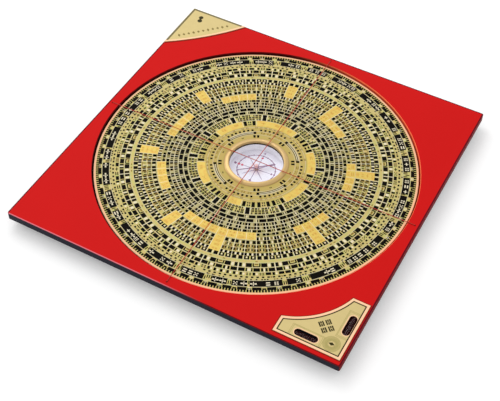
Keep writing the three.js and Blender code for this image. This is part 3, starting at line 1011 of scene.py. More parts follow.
@dataclass
class CadDresser:
    """Gives each CAD node its slot's finish and round shading."""

    sharp_angle: float = math.radians(32)
    weld: float = 1e-6

    def shading_group(self) -> bpy.types.GeometryNodeTree:
        """Makes the modifier group that welds a mesh and shades it by the angle of its edges.

        Returns:
            The group.
        """
        group = bpy.data.node_groups.new("round shading", "GeometryNodeTree")
        for side in ("INPUT", "OUTPUT"):
            group.interface.new_socket(
                "Geometry", in_out=side, socket_type="NodeSocketGeometry",
            )
        graph = NodeGraph(group)
        source, target = graph.add("NodeGroupInput"), graph.add("NodeGroupOutput")
        merge = graph.add("GeometryNodeMergeByDistance")
        merge.inputs["Distance"].default_value = self.weld
        angle = graph.add("GeometryNodeInputMeshEdgeAngle")
        sharp = graph.add("FunctionNodeCompare", operation="GREATER_THAN")
        sharp.inputs[1].default_value = self.sharp_angle
        normal = graph.add("GeometryNodeSetMeshNormal", mode="SHARPNESS")
        normal.inputs["Remove Custom"].default_value = True
        graph.join(source.outputs[0], merge.inputs["Geometry"])
        graph.join(merge.outputs["Geometry"], normal.inputs["Mesh"])
        graph.join(angle.outputs["Unsigned Angle"], sharp.inputs[0])
        graph.join(sharp.outputs["Result"], normal.inputs["Edge Sharpness"])
        graph.join(normal.outputs["Mesh"], target.inputs[0])
        return group

    def dress(self) -> None:
        """Dresses every CAD node."""
        group = self.shading_group()
        slots = {part["node"]: part["material_slot"] for part in frame["record"]["subparts"]}
        for name, node in frame["nodes"].items():
            finish = NODE_FINISHES.get(name) or FINISHES[Slot(slots[name])]
            node.data.materials.clear()
            node.data.materials.append(finish.material())
            node.modifiers.new("round shading", "NODES").node_group = group
            log.info("%s: CAD node, %s", name, finish.name)


# The dial's print


class Layer(Enum):
    """The dial's printed layers: each one's piece, its ink and its height over the face."""

    LINES = ("dial_print_lines", Ink.PALE, 0.015 * MM)
    FOIL = ("dial_print_foil", Ink.FOIL, 0.02 * MM)
    FAINT = ("dial_print_faint", Ink.DUN, 0.025 * MM)
    AMBER = ("dial_print_amber", Ink.AMBER, 0.03 * MM)
    BLACK = ("dial_print_black", Ink.BLACK, 0.035 * MM)
    LIGHT = ("dial_print_signs", Ink.IVORY, 0.05 * MM)

    def __init__(self, piece: str, ink: Ink, height: float) -> None:
        """Gives the layer's three values their names.

        Args:
            piece: The name of the layer's piece.
            ink: Its ink.
            height: Its height over the face.
        """
        self.piece = piece
        self.ink = ink
        self.height = height


@dataclass(frozen=True)
class Ring:
    """One printed ring of the dial, with its radii as shares of the dial's."""

    inner_share: float
    outer_share: float
    cells: int
    centre_deg: float

    def angle(self, cell: float) -> float:
        """Returns the angle of a cell's middle."""
        return math.radians(self.centre_deg) + cell * FULL_TURN / self.cells


@dataclass(frozen=True)
class Marks:
    """Bars alike, or signs of one size, at some places across a cell.

    Across the cell, places and half widths are shares of its width, from -0.5 to 0.5. Along the
    ring's depth, a mark runs from one share to another, from 0 at the inner edge to 1 at the
    outer one. The fill is the share of marks that are there.
    """

    layer: Layer
    middles: tuple[float, ...]
    half: float
    along: Point = (0.0, 1.0)
    fill: float = 1.0
    signs: bool = False


black = partial(Marks, Layer.BLACK)
faint = partial(Marks, Layer.FAINT)
light = partial(Marks, Layer.LIGHT)
amber = partial(Marks, Layer.AMBER)


def bar_pair(inner: float, outer: float, start: float, end: float) -> tuple[Bar, Bar]:
    """Returns two bars of a sign, alike at its left and its right."""
    return ((-outer, -inner, start, end), (inner, outer, start, end))


PLAIN_BAR: tuple[Bar, ...] = ((-1.0, 1.0, 0.0, 1.0),)
SIGNS: tuple[tuple[Bar, ...], ...] = (
    ((-1.0, 1.0, 0.0, 0.34), (-1.0, 1.0, 0.66, 1.0)),
    (
        *bar_pair(0.2, 1.0, 0.0, 0.24), *bar_pair(0.2, 1.0, 0.38, 0.62),
        *bar_pair(0.2, 1.0, 0.76, 1.0),
    ),
    ((-0.2, 0.2, 0.0, 1.0), *bar_pair(0.2, 1.0, 0.36, 0.64)),
    (*bar_pair(0.45, 1.0, 0.0, 0.3), (-0.3, 0.3, 0.35, 0.65), *bar_pair(0.45, 1.0, 0.7, 1.0)),
    (*bar_pair(0.25, 1.0, 0.0, 0.4), *bar_pair(0.25, 1.0, 0.6, 1.0)),
)


def covered(arcs: Iterable[Arc], cells: int) -> set[int]:
    """Returns a ring's cells that lie under arcs, each given by its first cell and its count."""
    return {(first + i) % cells for first, count in arcs for i in range(count)}


@dataclass
class DialPrint:
    """The rings of marks on the dial's face."""

    seed: int = 24
    line: float = 0.28 * MM
    circle_shares: tuple[float, ...] = (
        0.948, 0.9035, 0.845, 0.8125, 0.7795, 0.757, 0.6785, 0.6485, 0.6145,
        0.5595, 0.535, 0.51, 0.4815, 0.4525, 0.4215, 0.3675, 0.304, 0.2685, 0.24,
    )
    gold_arcs: tuple[Arc, ...] = ((1, 4), (9, 4), (21, 4), (29, 4), (37, 4), (45, 8), (57, 4))
    gold_tabs: frozenset[int] = frozenset((3, 12, 17, 26, 35, 44, 49, 58))
    centre_arcs: tuple[Arc, ...] = ((1, 2), (5, 3), (9, 2), (14, 2), (18, 1), (22, 2))

    def __post_init__(self) -> None:
        """Reads the dial's sizes from the frame and starts the layers."""
        core_low, core_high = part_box("dial_disc")
        self.dial_radius = (core_high.x - core_low.x) / 2
        self.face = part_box("dial_face_plate")[1].z
        self.random = random.Random(self.seed)
        self.under_arcs = covered(self.gold_arcs, 64)
        self.layers = {layer: SolidWriter() for layer in Layer}

    def bar(
        self, layer: Layer, ring: Ring, cell: float, across: Point, along: Point = (0.0, 1.0),
    ) -> None:
        """Adds one bar of a cell.

        Args:
            layer: Its printed layer.
            ring: The ring that holds it.
            cell: The cell's index.
            across: Where it starts and ends across the cell, from -0.5 to 0.5.
            along: Where it starts and ends from the ring's inner to its outer edge, from 0 to 1.
        """
        pitch = FULL_TURN / ring.cells
        centre = ring.angle(cell)
        inner = ring.inner_share * self.dial_radius
        depth = (ring.outer_share - ring.inner_share) * self.dial_radius
        self.layers[layer].arc_bar(
            inner + along[0] * depth, inner + along[1] * depth,
            centre + across[0] * pitch, centre + across[1] * pitch,
            self.face, self.face + layer.height,
        )

    def write(self, ring: Ring, cell: float, *rows: Marks) -> None:
        """Adds marks to one cell.

        Args:
            ring: The ring that holds it.
            cell: The cell's index.
            rows: The marks.
        """
        for marks in rows:
            low, high = marks.along
            for middle in marks.middles:
                if marks.fill < 1 and self.random.random() >= marks.fill:
                    continue
                bars = self.random.choice(SIGNS) if marks.signs else PLAIN_BAR
                for left, right, start, end in bars:
                    across = (middle + marks.half * left, middle + marks.half * right)
                    along = (low + (high - low) * start, low + (high - low) * end)
                    self.bar(marks.layer, ring, cell, across, along)

    def write_ring(self, ring: Ring, *rows: Marks, without: Collection[int] = ()) -> None:
        """Adds marks to every cell of a ring.

        Args:
            ring: The ring.
            rows: The marks, each written all round before the next.
            without: The cells that have none.
        """
        for marks in rows:
            for cell in range(ring.cells):
                if cell not in without:
                    self.write(ring, cell, marks)

    def circles(self) -> None:
        """Adds the thin pale circles between the rings."""
        for share in self.circle_shares:
            inner, outer = (share * self.dial_radius + side * self.line / 2 for side in (-1, 1))
            height = self.face + Layer.LINES.height
            self.layers[Layer.LINES].hoop(inner, outer, self.face, height)

    def degree_comb(self) -> None:
        """Adds the outer comb: a tooth for each degree, and a block and a label in every five."""
        self.write_ring(
            Ring(0.95, 0.9865, 72, 3.45),
            black((0.0,), 0.315, (0.04, 0.6)),
            black((-0.4, -0.2, 0.0, 0.2, 0.4), 0.066, (0.5, 0.98)),
            black((0.5,), 0.13, (0.2, 0.5), 0.7),
            light((0.5,), 0.08, (0.1, 0.45), 0.6, signs=True),
        )

    def bold_band(self) -> None:
        """Adds the bold outer band: long black runs with pale signs, and short rows of strokes."""
        ring = Ring(0.9055, 0.9465, 360, 0.0)
        pitch = 0.75
        angle, last = 0.6, 360.6
        while angle < last - 1:
            run = min(self.random.choice((5.5, 8.5, 11.5, 14.0)), last - angle)
            self.bar(Layer.BLACK, ring, angle, (0.0, run))
            self.pale_signs(ring, angle + 1.3, angle + run - 1.1)
            angle += run
            stretch = min(self.random.choice((0.8, 1.6, 3.0)), last - angle)
            for stroke in range(int(stretch / pitch)):
                low = self.random.choice((0.0, 0.3))
                self.write(ring, angle + 0.5 + stroke * pitch, black((0.0,), 0.2, (low, low + 0.6)))
            angle += stretch

    def pale_signs(self, ring: Ring, start: float, end: float) -> None:
        """Adds pale signs, crosses and gaps on a black run.

        Args:
            ring: The ring that holds the run.
            start: The cell where they start.
            end: The cell before which they end.
        """
        cross = (light((0.0,), 0.13, (0.18, 0.88)), light((-0.75, 0.75), 0.42, (0.42, 0.64)))
        at = start
        while at < end:
            kind = self.random.random()
            if kind < 0.35:
                self.write(ring, at, *cross)
            elif kind < 0.85:
                self.write(ring, at, light((0.0,), 0.72, (0.28, 0.84), signs=True))
            at += self.random.uniform(2.0, 3.0)

    def dotted_band(self) -> None:
        """Adds the light band with its two rows of dots and its row of small blocks."""
        outer, inner = Ring(0.893, 0.9015, 360, 0.4), Ring(0.8755, 0.8865, 180, 0.8)
        self.write_ring(outer, black((0.0,), 0.3, fill=0.38), faint((0.5,), 0.3, fill=0.12))
        self.write_ring(inner, black((0.0,), 0.23, fill=0.96), faint((0.5,), 0.12, fill=0.25))
        third = Ring(0.8475, 0.87, 144, 0.4)
        split = (black((-0.2,), 0.2, (0.0, 0.95)), light((0.24,), 0.14, (0.2, 0.8)))
        for cell in range(third.cells):
            kind = self.random.random()
            if kind < 0.3:
                self.write(third, cell, black((0.0,), 0.42, (0.0, 0.85)))
            elif kind < 0.62:
                self.write(third, cell, *split)
            else:
                self.write(third, cell, black((0.0,), 0.36, (0.1, 0.9), signs=True))

    def block_row(self) -> None:
        """Adds the row of bold blocks, in each group of five one pale and one split."""
        ring = Ring(0.8165, 0.841, 120, 1.45)
        pale = (light((0.0,), 0.2, (0.15, 0.85)), black((-0.36, 0.36), 0.1))
        split = (black((-0.29, 0.29), 0.15), light((0.0,), 0.1, (0.1, 1.0)))
        bold = (black((0.0,), 0.43),)
        for cell in range(ring.cells):
            self.write(ring, cell, *(bold, pale, bold, split, bold)[(cell + 3) % 5])
        self.write_ring(Ring(0.784, 0.843, 24, 5.95), light((0.0,), 0.011))

    def tent_row(self) -> None:
        """Adds the row of arches, each between two blocks, two pale dots and two narrow blocks."""
        self.write_ring(
            Ring(0.782, 0.8105, 24, 13.4),
            black((-0.21, 0.21), 0.083),
            black((-0.44, 0.44), 0.042),
            black((0.0,), 0.1, (0.72, 0.95)),
            black((-0.09, 0.09), 0.02, (0.0, 0.75)),
            light((-0.345, 0.345), 0.036, (0.15, 0.9)),
            faint((0.0,), 0.05, (0.1, 0.45)),
        )

    def thin_dots(self) -> None:
        """Adds the few faint dots between the arches and the figures."""
        self.write_ring(Ring(0.764, 0.774, 180, 0.4), faint((0.0,), 0.25, (0.2, 0.8), 0.25))

    def figure_rows(self) -> None:
        """Adds the sixty-four figures, by turns two squares or two open rings, and their feet."""
        ring, feet = Ring(0.7305, 0.7565, 64, 3.0), Ring(0.7085, 0.729, 64, 3.0)
        squares = (black((-0.25, 0.25), 0.165), light((0.0,), 0.035, (0.1, 0.8)))
        rings = (
            black((-0.4, -0.12, 0.12, 0.4), 0.07),
            black((-0.26, 0.26), 0.1, (0.7, 1.0)),
            black((-0.26, 0.26), 0.1, (0.0, 0.16)),
            light((-0.26, 0.26), 0.05, (0.26, 0.62)),
        )
        for cell in range(ring.cells):
            self.write(ring, cell, *(squares if cell % 2 else rings))
        toes = (black((-0.38, 0.0, 0.38), 0.115), light((-0.19, 0.19), 0.075, (0.15, 0.95)))
        self.write_ring(feet, *toes, without=self.gold_tabs)

    def gold_fields(self) -> None:
        """Adds the bright gold arcs and tabs, the columns' borders and the marks between arcs."""
        tabs = Ring(0.6145, 0.7325, 64, 3.0)
        rows = 4
        for cell in sorted(self.gold_tabs):
            self.bar(Layer.FOIL, tabs, cell, (-0.5, 0.5))
            for row in range(rows):
                along = ((row + 0.25) / rows, (row + 0.65) / rows)
                self.write(tabs, cell, amber((0.0,), 0.22, along, signs=True))
        arcs = Ring(0.5575, 0.6125, 64, 3.0)
        sign = amber((0.0,), 0.26, (0.55, 0.82), signs=True)
        for first, count in self.gold_arcs:
            self.bar(Layer.FOIL, arcs, first, (-0.5, count - 0.5))
            for cell in range(first, first + count):
                self.write(arcs, cell, sign, amber((-0.2, 0.2), 0.05, (0.16, 0.36)))
        self.write_ring(
            Ring(0.592, 0.6155, 64, 3.0),
            black((-0.37, 0.37), 0.125),
            faint((0.0,), 0.1, (0.1, 0.9)),
            light((-0.2, 0.2), 0.05),
            without=self.under_arcs,
        )
        feet = Ring(0.5645, 0.581, 64, 3.0)
        soles = (black((-0.33, 0.33), 0.17), black((0.0,), 0.22, (0.4, 0.7), 0.4))
        self.write_ring(feet, *soles, without=self.under_arcs)
        self.write_ring(Ring(0.5575, 0.757, 64, 3.0), light((0.5,), 0.022))

    def column_band(self) -> None:
        """Adds the dense band of small marks between the figures and the gold arcs."""
        for low, high in ((0.678, 0.7035), (0.6485, 0.6745)):
            self.write_ring(
                Ring(low, high, 64, 3.0),
                black((-0.39, 0.39), 0.068, (0.1, 0.85), 0.95),
                black((-0.14, 0.13), 0.06, (0.0, 0.7), 0.9),
                faint((-0.27, 0.27), 0.055, (0.0, 1.0), 0.9),
                faint((0.0,), 0.4, (0.86, 1.0), 0.8),
                light((0.0,), 0.04, (0.3, 0.9), 0.5),
                without=self.gold_tabs,
            )
        dots = (black((-0.3, 0.3), 0.15), light((0.0,), 0.06, (0.2, 0.9)))
        self.write_ring(Ring(0.6195, 0.6435, 64, 3.0), *dots, without=self.gold_tabs)

    def dot_row(self) -> None:
        """Adds the row of bold blocks under the gold arcs, two of each five left thin."""
        ring = Ring(0.538, 0.5565, 120, 0.2)
        bold = (black((0.0,), 0.4),)
        thin = (black((-0.3, 0.12), 0.1, (0.0, 0.9)), light((0.4,), 0.08))
        for cell in range(ring.cells):
            self.write(ring, cell, *(thin if cell % 5 in (1, 3) else bold))

    def sixty_rows(self) -> None:
        """Adds the sixty pale lines with a dark dot at both sides of each, in two rows."""
        for low, high in ((0.4865, 0.5065), (0.514, 0.5325)):
            self.write_ring(
                Ring(low, high, 60, 1.6),
                black((-0.34, 0.34), 0.125),
                black((0.0,), 0.075, (0.1, 0.9), 0.6),
                faint((-0.16, 0.16), 0.04, (0.0, 1.0), 0.35),
            )
        self.write_ring(Ring(0.485, 0.5345, 60, 1.6), light((0.5,), 0.03))

    def bar_rows(self) -> None:
        """Adds the two rows of long bars, in pairs, with a pale cross between two pairs."""
        for ring, side, half in (
            (Ring(0.4565, 0.4795, 24, 5.8), 0.19, 0.168),
            (Ring(0.4275, 0.449, 24, 13.2), 0.205, 0.17),
        ):
            self.write_ring(
                ring,
                black((-side, side), half),
                light((0.5,), 0.012),
                light((0.5,), 0.06, (0.4, 0.58), 0.4),
                black((0.44, 0.56), 0.024, (0.05, 0.95), 0.8),
            )

    def twelve_bars(self) -> None:
        """Adds the twelve tall bars and the fine strokes between them."""
        bars, fine = Ring(0.3675, 0.4205, 12, 20.6), Ring(0.3675, 0.4205, 120, 20.6)
        self.write_ring(bars, black((0.0,), 0.056), light((-0.075, 0.075), 0.01))
        rows = 3
        for cell in range(fine.cells):
            if cell % 10 == 0:
                continue
            for row in range(rows):
                low = (row + 0.06) / rows
                self.write(
                    fine, cell,
                    black((-0.3, 0.3), 0.17, (low, low + 0.28), 0.88),
                    light((0.0,), 0.1, (low + 0.04, low + 0.2), 0.4),
                )

    def inner_fields(self) -> None:
        """Adds the gold arcs round the centre and the bold signs between them."""
        ring = Ring(0.3155, 0.3655, 24, 5.5)
        for first, count in self.centre_arcs:
            self.bar(Layer.FOIL, ring, first, (-0.5, count - 0.5))
            self.write(ring, first, light((-0.5, count - 0.5), 0.014))
            for cell in range(first, first + count):
                self.write(ring, cell, amber((0.0,), 0.16, (0.4, 0.7), signs=True))
        self.write_ring(
            ring,
            black((-0.31, 0.31), 0.11, (0.16, 0.96)),
            black((0.0,), 0.11, (0.2, 0.85), signs=True),
            without=covered(self.centre_arcs, ring.cells),
        )
        small = faint((0.0,), 0.25, (0.0, 1.0), 0.6, signs=True)
        self.write_ring(Ring(0.295, 0.309, 64, 0.0), small)

    def centre_signs(self) -> None:
        """Adds the beads, the thin double arcs and the paired squares nearest the capsule."""
        beads = Ring(0.273, 0.2875, 64, -0.4)
        left_out = range(5, beads.cells, 8)
        self.write_ring(beads, black((0.0,), 0.24), without=left_out)
        self.write_ring(Ring(0.2145, 0.2365, 8, 28.4), black((-0.065, 0.065), 0.04))
        self.write_ring(Ring(0.219, 0.227, 8, 50.9), black((-0.02, 0.025), 0.014))
        self.write_ring(
            Ring(0.246, 0.266, 4, 50.5),
            *(black((0.0,), 0.205, along) for along in ((0.0, 0.2), (0.5, 0.7))),
            *(light((0.0,), 0.2, along) for along in ((0.24, 0.44), (0.76, 0.92))),
            black((-0.225, 0.225), 0.02),
        )
        crossing = faint((-0.15, -0.05, 0.05, 0.15), 0.03, (0.1, 0.9), 0.9, signs=True)
        self.write_ring(Ring(0.246, 0.264, 4, 5.5), crossing)

    def build(self) -> None:
        """Builds the print, ring by ring from the rim, and lets it ride on the dial."""
        for write in (
            self.circles, self.degree_comb, self.bold_band, self.dotted_band, self.block_row,
            self.tent_row, self.thin_dots, self.figure_rows, self.gold_fields, self.column_band,
            self.dot_row, self.sixty_rows, self.bar_rows, self.twelve_bars, self.inner_fields,
            self.centre_signs,
        ):
            write()
        for layer, writer in self.layers.items():
            piece = writer.make(layer.piece, layer.ink.value)
            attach(piece, "dial")


# The capsule


@dataclass
class Capsule:
    """The bezel, and the print on the card under the needle.

    A dot is given by its quarter turn from the star's first ray, its distance from the
    middle and its radius.
    """

    steps: int = 192
    crown_steps: int = 24
    lip_chamfer: float = 0.25 * MM
    crest_inset: float = 0.9 * MM
    ink_height: float = 0.02 * MM
    circle_radius: float = 16.0 * MM
    circle_width: float = 0.62 * MM
    sign_count: int = 24
    sign_width: float = 1.5 * MM
    sign_turn: float = 0.045
    wide_sign_turn: float = 0.075
    star_turn: float = math.radians(5)
    ray_count: int = 8
    ray_start: float = 1.2 * MM
    ray_end: float = 12.4 * MM
    ray_half: float = 0.4 * MM
    dot_sides: int = 14
    red_dots: tuple[Dot, ...] = (
        (1, 13.6 * MM, 1.0 * MM), (2, 12.6 * MM, 1.1 * MM), (2, 15.6 * MM, 1.2 * MM),
    )
    dark_dots: tuple[Dot, ...] = (
        (0, 13.6 * MM, 0.9 * MM), (1, 19.2 * MM, 0.8 * MM), (2, 18.8 * MM, 1.2 * MM),
        (3, 13.2 * MM, 1.1 * MM),
    )

    def bezel(self) -> None:
        """Builds the rounded bezel in the CAD ring's place."""
        low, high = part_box("bezel_ring")
        glass_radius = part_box("capsule_glass")[1].x
        inner = min(math.hypot(v.co.x, v.co.y) for v in frame["nodes"]["bezel_ring"].data.vertices)
        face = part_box("dial_face_plate")[1].z
        crest = inner + self.crest_inset
        profile = [(inner + self.lip_chamfer, low.z), (glass_radius, low.z), (glass_radius, face)]
        for step in range(self.crown_steps + 1):
            x, z = polar(1.0, QUARTER_TURN * step / self.crown_steps)
            profile.append((crest + (high.x - crest) * x, face + (high.z - face) * z))
        lip_steps = self.crown_steps // 2
        for step in range(1, lip_steps + 1):
            rise, inward = polar(self.crest_inset, QUARTER_TURN * step / lip_steps)
            profile.append((crest - inward, high.z - self.crest_inset + rise))
        profile.append((inner, low.z + self.lip_chamfer))
        writer = SolidWriter()
        writer.lathe(profile, self.steps)
        piece = writer.make("bezel_round", NODE_FINISHES["bezel_ring"], ROUND_EDGE)
        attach(piece, "dial")
        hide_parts("bezel_ring")

    def card_print(self) -> None:
        """Builds the circle, the star and the dots on the card."""
        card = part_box("capsule_card")[1].z
        top = card + self.ink_height
        circle = SolidWriter()
        inner, outer = (self.circle_radius + s * self.circle_width / 2 for s in (-1, 1))
        circle.hoop(inner, outer, card, top)
        inner, outer = (self.circle_radius + s * self.sign_width / 2 for s in (-1, 1))
        for sign in range(self.sign_count):
            angle = self.star_turn + FULL_TURN * sign / self.sign_count
            half = (self.sign_turn if sign % 3 else self.wide_sign_turn) / 2
            circle.arc_bar(inner, outer, angle - half, angle + half, card, top + self.ink_height)
        self.place(circle, "card_circle", Ink.VIOLET)
        star = SolidWriter()
        for number in range(self.ray_count):
            angle = self.star_turn + FULL_TURN * number / self.ray_count
            outline = ray(angle, self.ray_start, self.ray_end, self.ray_half, self.ray_half / 2)
            star.prism(outline, card, top)
        self.place(star, "card_star", Ink.SLATE)
        for name, ink, dots in (
            ("card_red_dots", Ink.CRIMSON, self.red_dots),
            ("card_dark_dots", Ink.VIOLET, self.dark_dots),
        ):
            writer = SolidWriter()
            for quarter, distance, radius in dots:
                spot = polar(distance, self.star_turn + quarter * QUARTER_TURN)
                outline = moved(disc(radius, self.dot_sides), *spot)
                writer.prism(outline, card, top + 2 * self.ink_height)
            self.place(writer, name, ink)

    def place(self, writer: SolidWriter, name: str, ink: Ink) -> None:
        """Makes one ink layer of the card and lets it ride on the dial.

        Args:
            writer: The layer's solids.
            name: The piece's name.
            ink: Its ink.
        """
        piece = writer.make(name, ink.value)
        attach(piece, "dial")

    def build(self) -> None:
        """Builds the capsule's pieces."""
        self.bezel()
        self.card_print()


# The corner plates


@dataclass(frozen=True)
class Rosette:
    """The sizes of the plain dial of ticks in the front plate's corner."""

    inset: float = 10.8 * MM
    rise: float = 9.6 * MM
    radius: float = 6.6 * MM
    circle_shares: tuple[float, ...] = (1.0, 0.72, 0.42)
    circle_sides: int = 48
    ticks: int = 48
    tick_start_share: float = 0.45
    tick_half: float = 0.24 * MM
    lozenge_half: float = 2.4 * MM
    lozenge_short_half: float = 1.4 * MM


@dataclass(frozen=True)
class TrigramBlock:
    """The sizes of the four trigrams on the front plate."""

    inset: float = 20.6 * MM
    rise: float = 21.4 * MM
    turn: float = math.radians(-45)
    column_half: float = 2.9 * MM
    row_half: float = 2.7 * MM
    line_pitch: float = 1.45 * MM
    line_half_length: float = 2.2 * MM
    line_half_width: float = 0.54 * MM
    gap_half: float = 0.3 * MM


@dataclass(frozen=True)
class LozengeRow:
    """The sizes of the row of lozenges on the back plate, from the plate's corner."""

    count: int = 11
    start: Point = (7.4 * MM, -40.2 * MM)
    run: Point = (32.1 * MM, 32.5 * MM)
    long_half: float = 1.7 * MM
    longer_half: float = 2.1 * MM
    short_half: float = 1.25 * MM


@dataclass
class CornerPlates:
    """The print on the two corner plates, with a shadow painted round them on the red and a
    highlight painted on the window lips.

    A back dot is given by its place from the plate's corner and its radius, and the back bar
    by its place and its half sizes.
    """

    edge_gap: float = 0.05 * MM
    margin: float = 1.9 * MM
    border: float = 0.95 * MM
    arc_steps: int = 28
    hollow_depth: float = 6.6 * MM
    ink_height: float = 0.03 * MM
    # Width of the shadow painted round the front plate on the red sheet.
    painted_shadow: float = 0.9 * MM
    touching: float = 0.1 * MM
    windows: tuple[str, ...] = ("level_front_tube", "level_right_tube")
    window_half_length: float = 9.3 * MM
    window_half_width: float = 3.0 * MM
    window_steps: int = 12
    # Width of the highlight painted on the lip round each window.
    window_lip: float = 0.7 * MM
    frame_line: float = 0.35 * MM
    frame_gaps: tuple[Point, ...] = ((2.4 * MM, 1.5 * MM), (3.4 * MM, 2.2 * MM))
    rosette: Rosette = Rosette()
    trigrams: TrigramBlock = TrigramBlock()
    back_band: float = 1.9 * MM
    back_band_inset: float = 0.15 * MM
    back_band_end: float = 3.6 * MM
    back_margin: float = 1.9 * MM
    back_margin_gap: float = 0.1 * MM
    # Width of the shadow painted along the back plate's long side.
    back_painted_shadow: float = 1.44 * MM
    back_end: float = 0.3 * MM
    lozenges: LozengeRow = LozengeRow()
    dot_sides: int = 18
    back_dots: tuple[Point3, ...] = (
        (12.4 * MM, -8.8 * MM, 2.1 * MM), (13.6 * MM, -13.4 * MM, 2.2 * MM),
    )
    back_bar: Bar = (13.0 * MM, -11.1 * MM, 0.9 * MM, 1.6 * MM)

    def __post_init__(self) -> None:
        """Reads the plates' sizes from the frame."""
        self.front_low, self.front_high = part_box("front_corner_plate")
        self.back_low, self.back_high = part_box("back_corner_plate")
        self.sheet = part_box("red_top_sheet")[1].z

    def front_outline(self, inset: float) -> list[Point]:
        """Draws the front plate's outline, with its hollow corner.

        Args:
            inset: How far inside the plate's edge it runs, or outside it if negative.

        Returns:
            The outline, counterclockwise.
        """
        low, high = self.front_low, self.front_high
        vertices = [v.co for v in frame["nodes"]["front_corner_plate"].data.vertices]
        tip_x = min(v.x for v in vertices if high.y - v.y < self.touching)
        tip_y = max(v.y for v in vertices if v.x - low.x < self.touching)
        chord = math.hypot(tip_x - low.x, high.y - tip_y)
        radius = chord**2 / 8 / self.hollow_depth + self.hollow_depth / 2
        reach = (radius - self.hollow_depth) / math.sqrt(2)
        centre = ((tip_x + low.x) / 2 - reach, (high.y + tip_y) / 2 + reach)
        left, front, right, back = low.x + inset, low.y + inset, high.x - inset, high.y - inset
        hollow = radius + inset
        start = math.asin((back - centre[1]) / hollow)
        end = -math.acos((left - centre[0]) / hollow)
        turns = (start + (end - start) * i / self.arc_steps for i in range(self.arc_steps + 1))
        arc = moved((polar(hollow, turn) for turn in turns), *centre)
        return [(left, front), (right, front), (right, back), *arc]

    def front_plate(self) -> None:
        """Builds the front plate's margin, the highlight painted on its window lips, a shadow
        painted round it on the red, its border line, frames, rosette and trigrams.
        """
        top = self.front_high.z
        ink_top = top + self.ink_height
        bare = SolidWriter()
        inner, outer = (self.front_outline(inset) for inset in (self.margin, self.edge_gap))
        bare.strip(inner, outer, top, ink_top)
        # Painted highlight: a peach band on the lip round each level window.
        for node in self.windows:
            inner, outer = (self.stadium(node, grow) for grow in (self.edge_gap, self.window_lip))
            bare.strip(inner, outer, top, ink_top)
        self.place(bare, "front_plate_margin_and_lip_highlight", Ink.BARE_AND_HIGHLIGHT)
        # A dark red band painted on the red round the plate as its shadow.
        painted_shadow = SolidWriter()
        inner, outer = self.front_outline(0), self.front_outline(-self.painted_shadow)
        painted_shadow.strip(inner, outer, self.sheet, self.sheet + self.ink_height)
        self.place(painted_shadow, "front_plate_painted_shadow", Ink.PAINTED_SHADOW)
        line = SolidWriter()
        inner, outer = (self.front_outline(self.margin + more) for more in (self.border, 0))
        line.strip(inner, outer, top, ink_top)
        self.place(line, "front_plate_border", Ink.OLIVE)
        shade = SolidWriter()
        for node in self.windows:
            self.window_frame(shade, node, top, ink_top)
        self.add_rosette(shade, top, ink_top)
        self.place(shade, "front_plate_frames", Ink.SHADE)
        signs = SolidWriter()
        self.add_trigrams(signs, top, ink_top + self.ink_height)
        self.place(signs, "front_plate_signs", Ink.OLIVE)

    def front_spot(self, inset: float, rise: float) -> Point:
        """Returns the place so far in from the front plate's right edge and up from its front."""
        return (self.front_high.x - inset, self.front_low.y + rise)

    def window(self, node: str) -> tuple[Vector, bool]:
        """Returns a window's middle and whether it lies along X."""
        low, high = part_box(node)
        return (low + high) / 2, high.x - low.x > high.y - low.y

    def laid(self, outline: Sequence[Point], node: str) -> list[Point]:
        """Lays an outline along a window.

        Args:
            outline: The outline, drawn about the origin with its length along X.
            node: The window's tube.

        Returns:
            The outline about the window's middle.
        """
        middle, along_x = self.window(node)
        turned = outline if along_x else [(-y, x) for x, y in outline]
        return moved(turned, middle.x, middle.y)

    def stadium(self, node: str, grow: float) -> list[Point]:
        """Draws a window's outline with its round ends.

        Args:
            node: The window's tube.
            grow: How far outside the window it runs.

        Returns:
            The outline, counterclockwise.
        """
        reach = self.window_half_length - self.window_half_width
        outline = []
        for end, turn in ((reach, 0.0), (-reach, math.pi)):
            for step in range(self.window_steps + 1):
                angle = turn + math.pi * (step / self.window_steps - 0.5)
                outline += moved([polar(self.window_half_width + grow, angle)], end, 0.0)
        return self.laid(outline, node)

    def window_frame(self, writer: SolidWriter, node: str, low: float, high: float) -> None:
        """Adds the thin double frame round a level's window, open toward the plate's edge.

        Args:
            writer: Where the frame goes.
            node: The window's tube.
            low: Its underside.
            high: Its top.
        """
        middle, along_x = self.window(node)
        edge = self.margin + self.border
        ends = (middle.y - self.front_low.y, self.front_high.x - middle.x)
        open_end = edge - ends[0 if along_x else 1]
        line = self.frame_line
        for long_gap, short_gap in self.frame_gaps:
            reach = self.window_half_length + long_gap
            back = self.window_half_width + short_gap
            for side in (
                box(-reach, open_end, line - reach, back),
                box(reach - line, open_end, reach, back),
                box(-reach, back, reach, back + line),
            ):
                writer.prism(self.laid(side, node), low, high)

    def add_rosette(self, writer: SolidWriter, low: float, high: float) -> None:
        """Adds the plain dial of ticks, a little higher than the frames.

        Args:
            writer: Where it goes.
            low: Its underside.
            high: The frames' top.
        """
        sizes = self.rosette
        x, y = self.front_spot(sizes.inset, sizes.rise)
        lift = self.ink_height / 4
        for share in sizes.circle_shares:
            outer = sizes.radius * share
            inner, outer = (
                moved(disc(radius, sizes.circle_sides), x, y)
                for radius in (outer - self.frame_line, outer)
            )
            writer.strip(inner, outer, low, high + 2 * lift)
        start = sizes.radius * sizes.tick_start_share
        end = sizes.radius - 1.2 * self.frame_line
        for tick in range(sizes.ticks):
            turn = FULL_TURN * tick / sizes.ticks
            outline = ray(turn, start, end, sizes.tick_half, sizes.tick_half)
            writer.prism(moved(outline, x, y), low, high + lift)

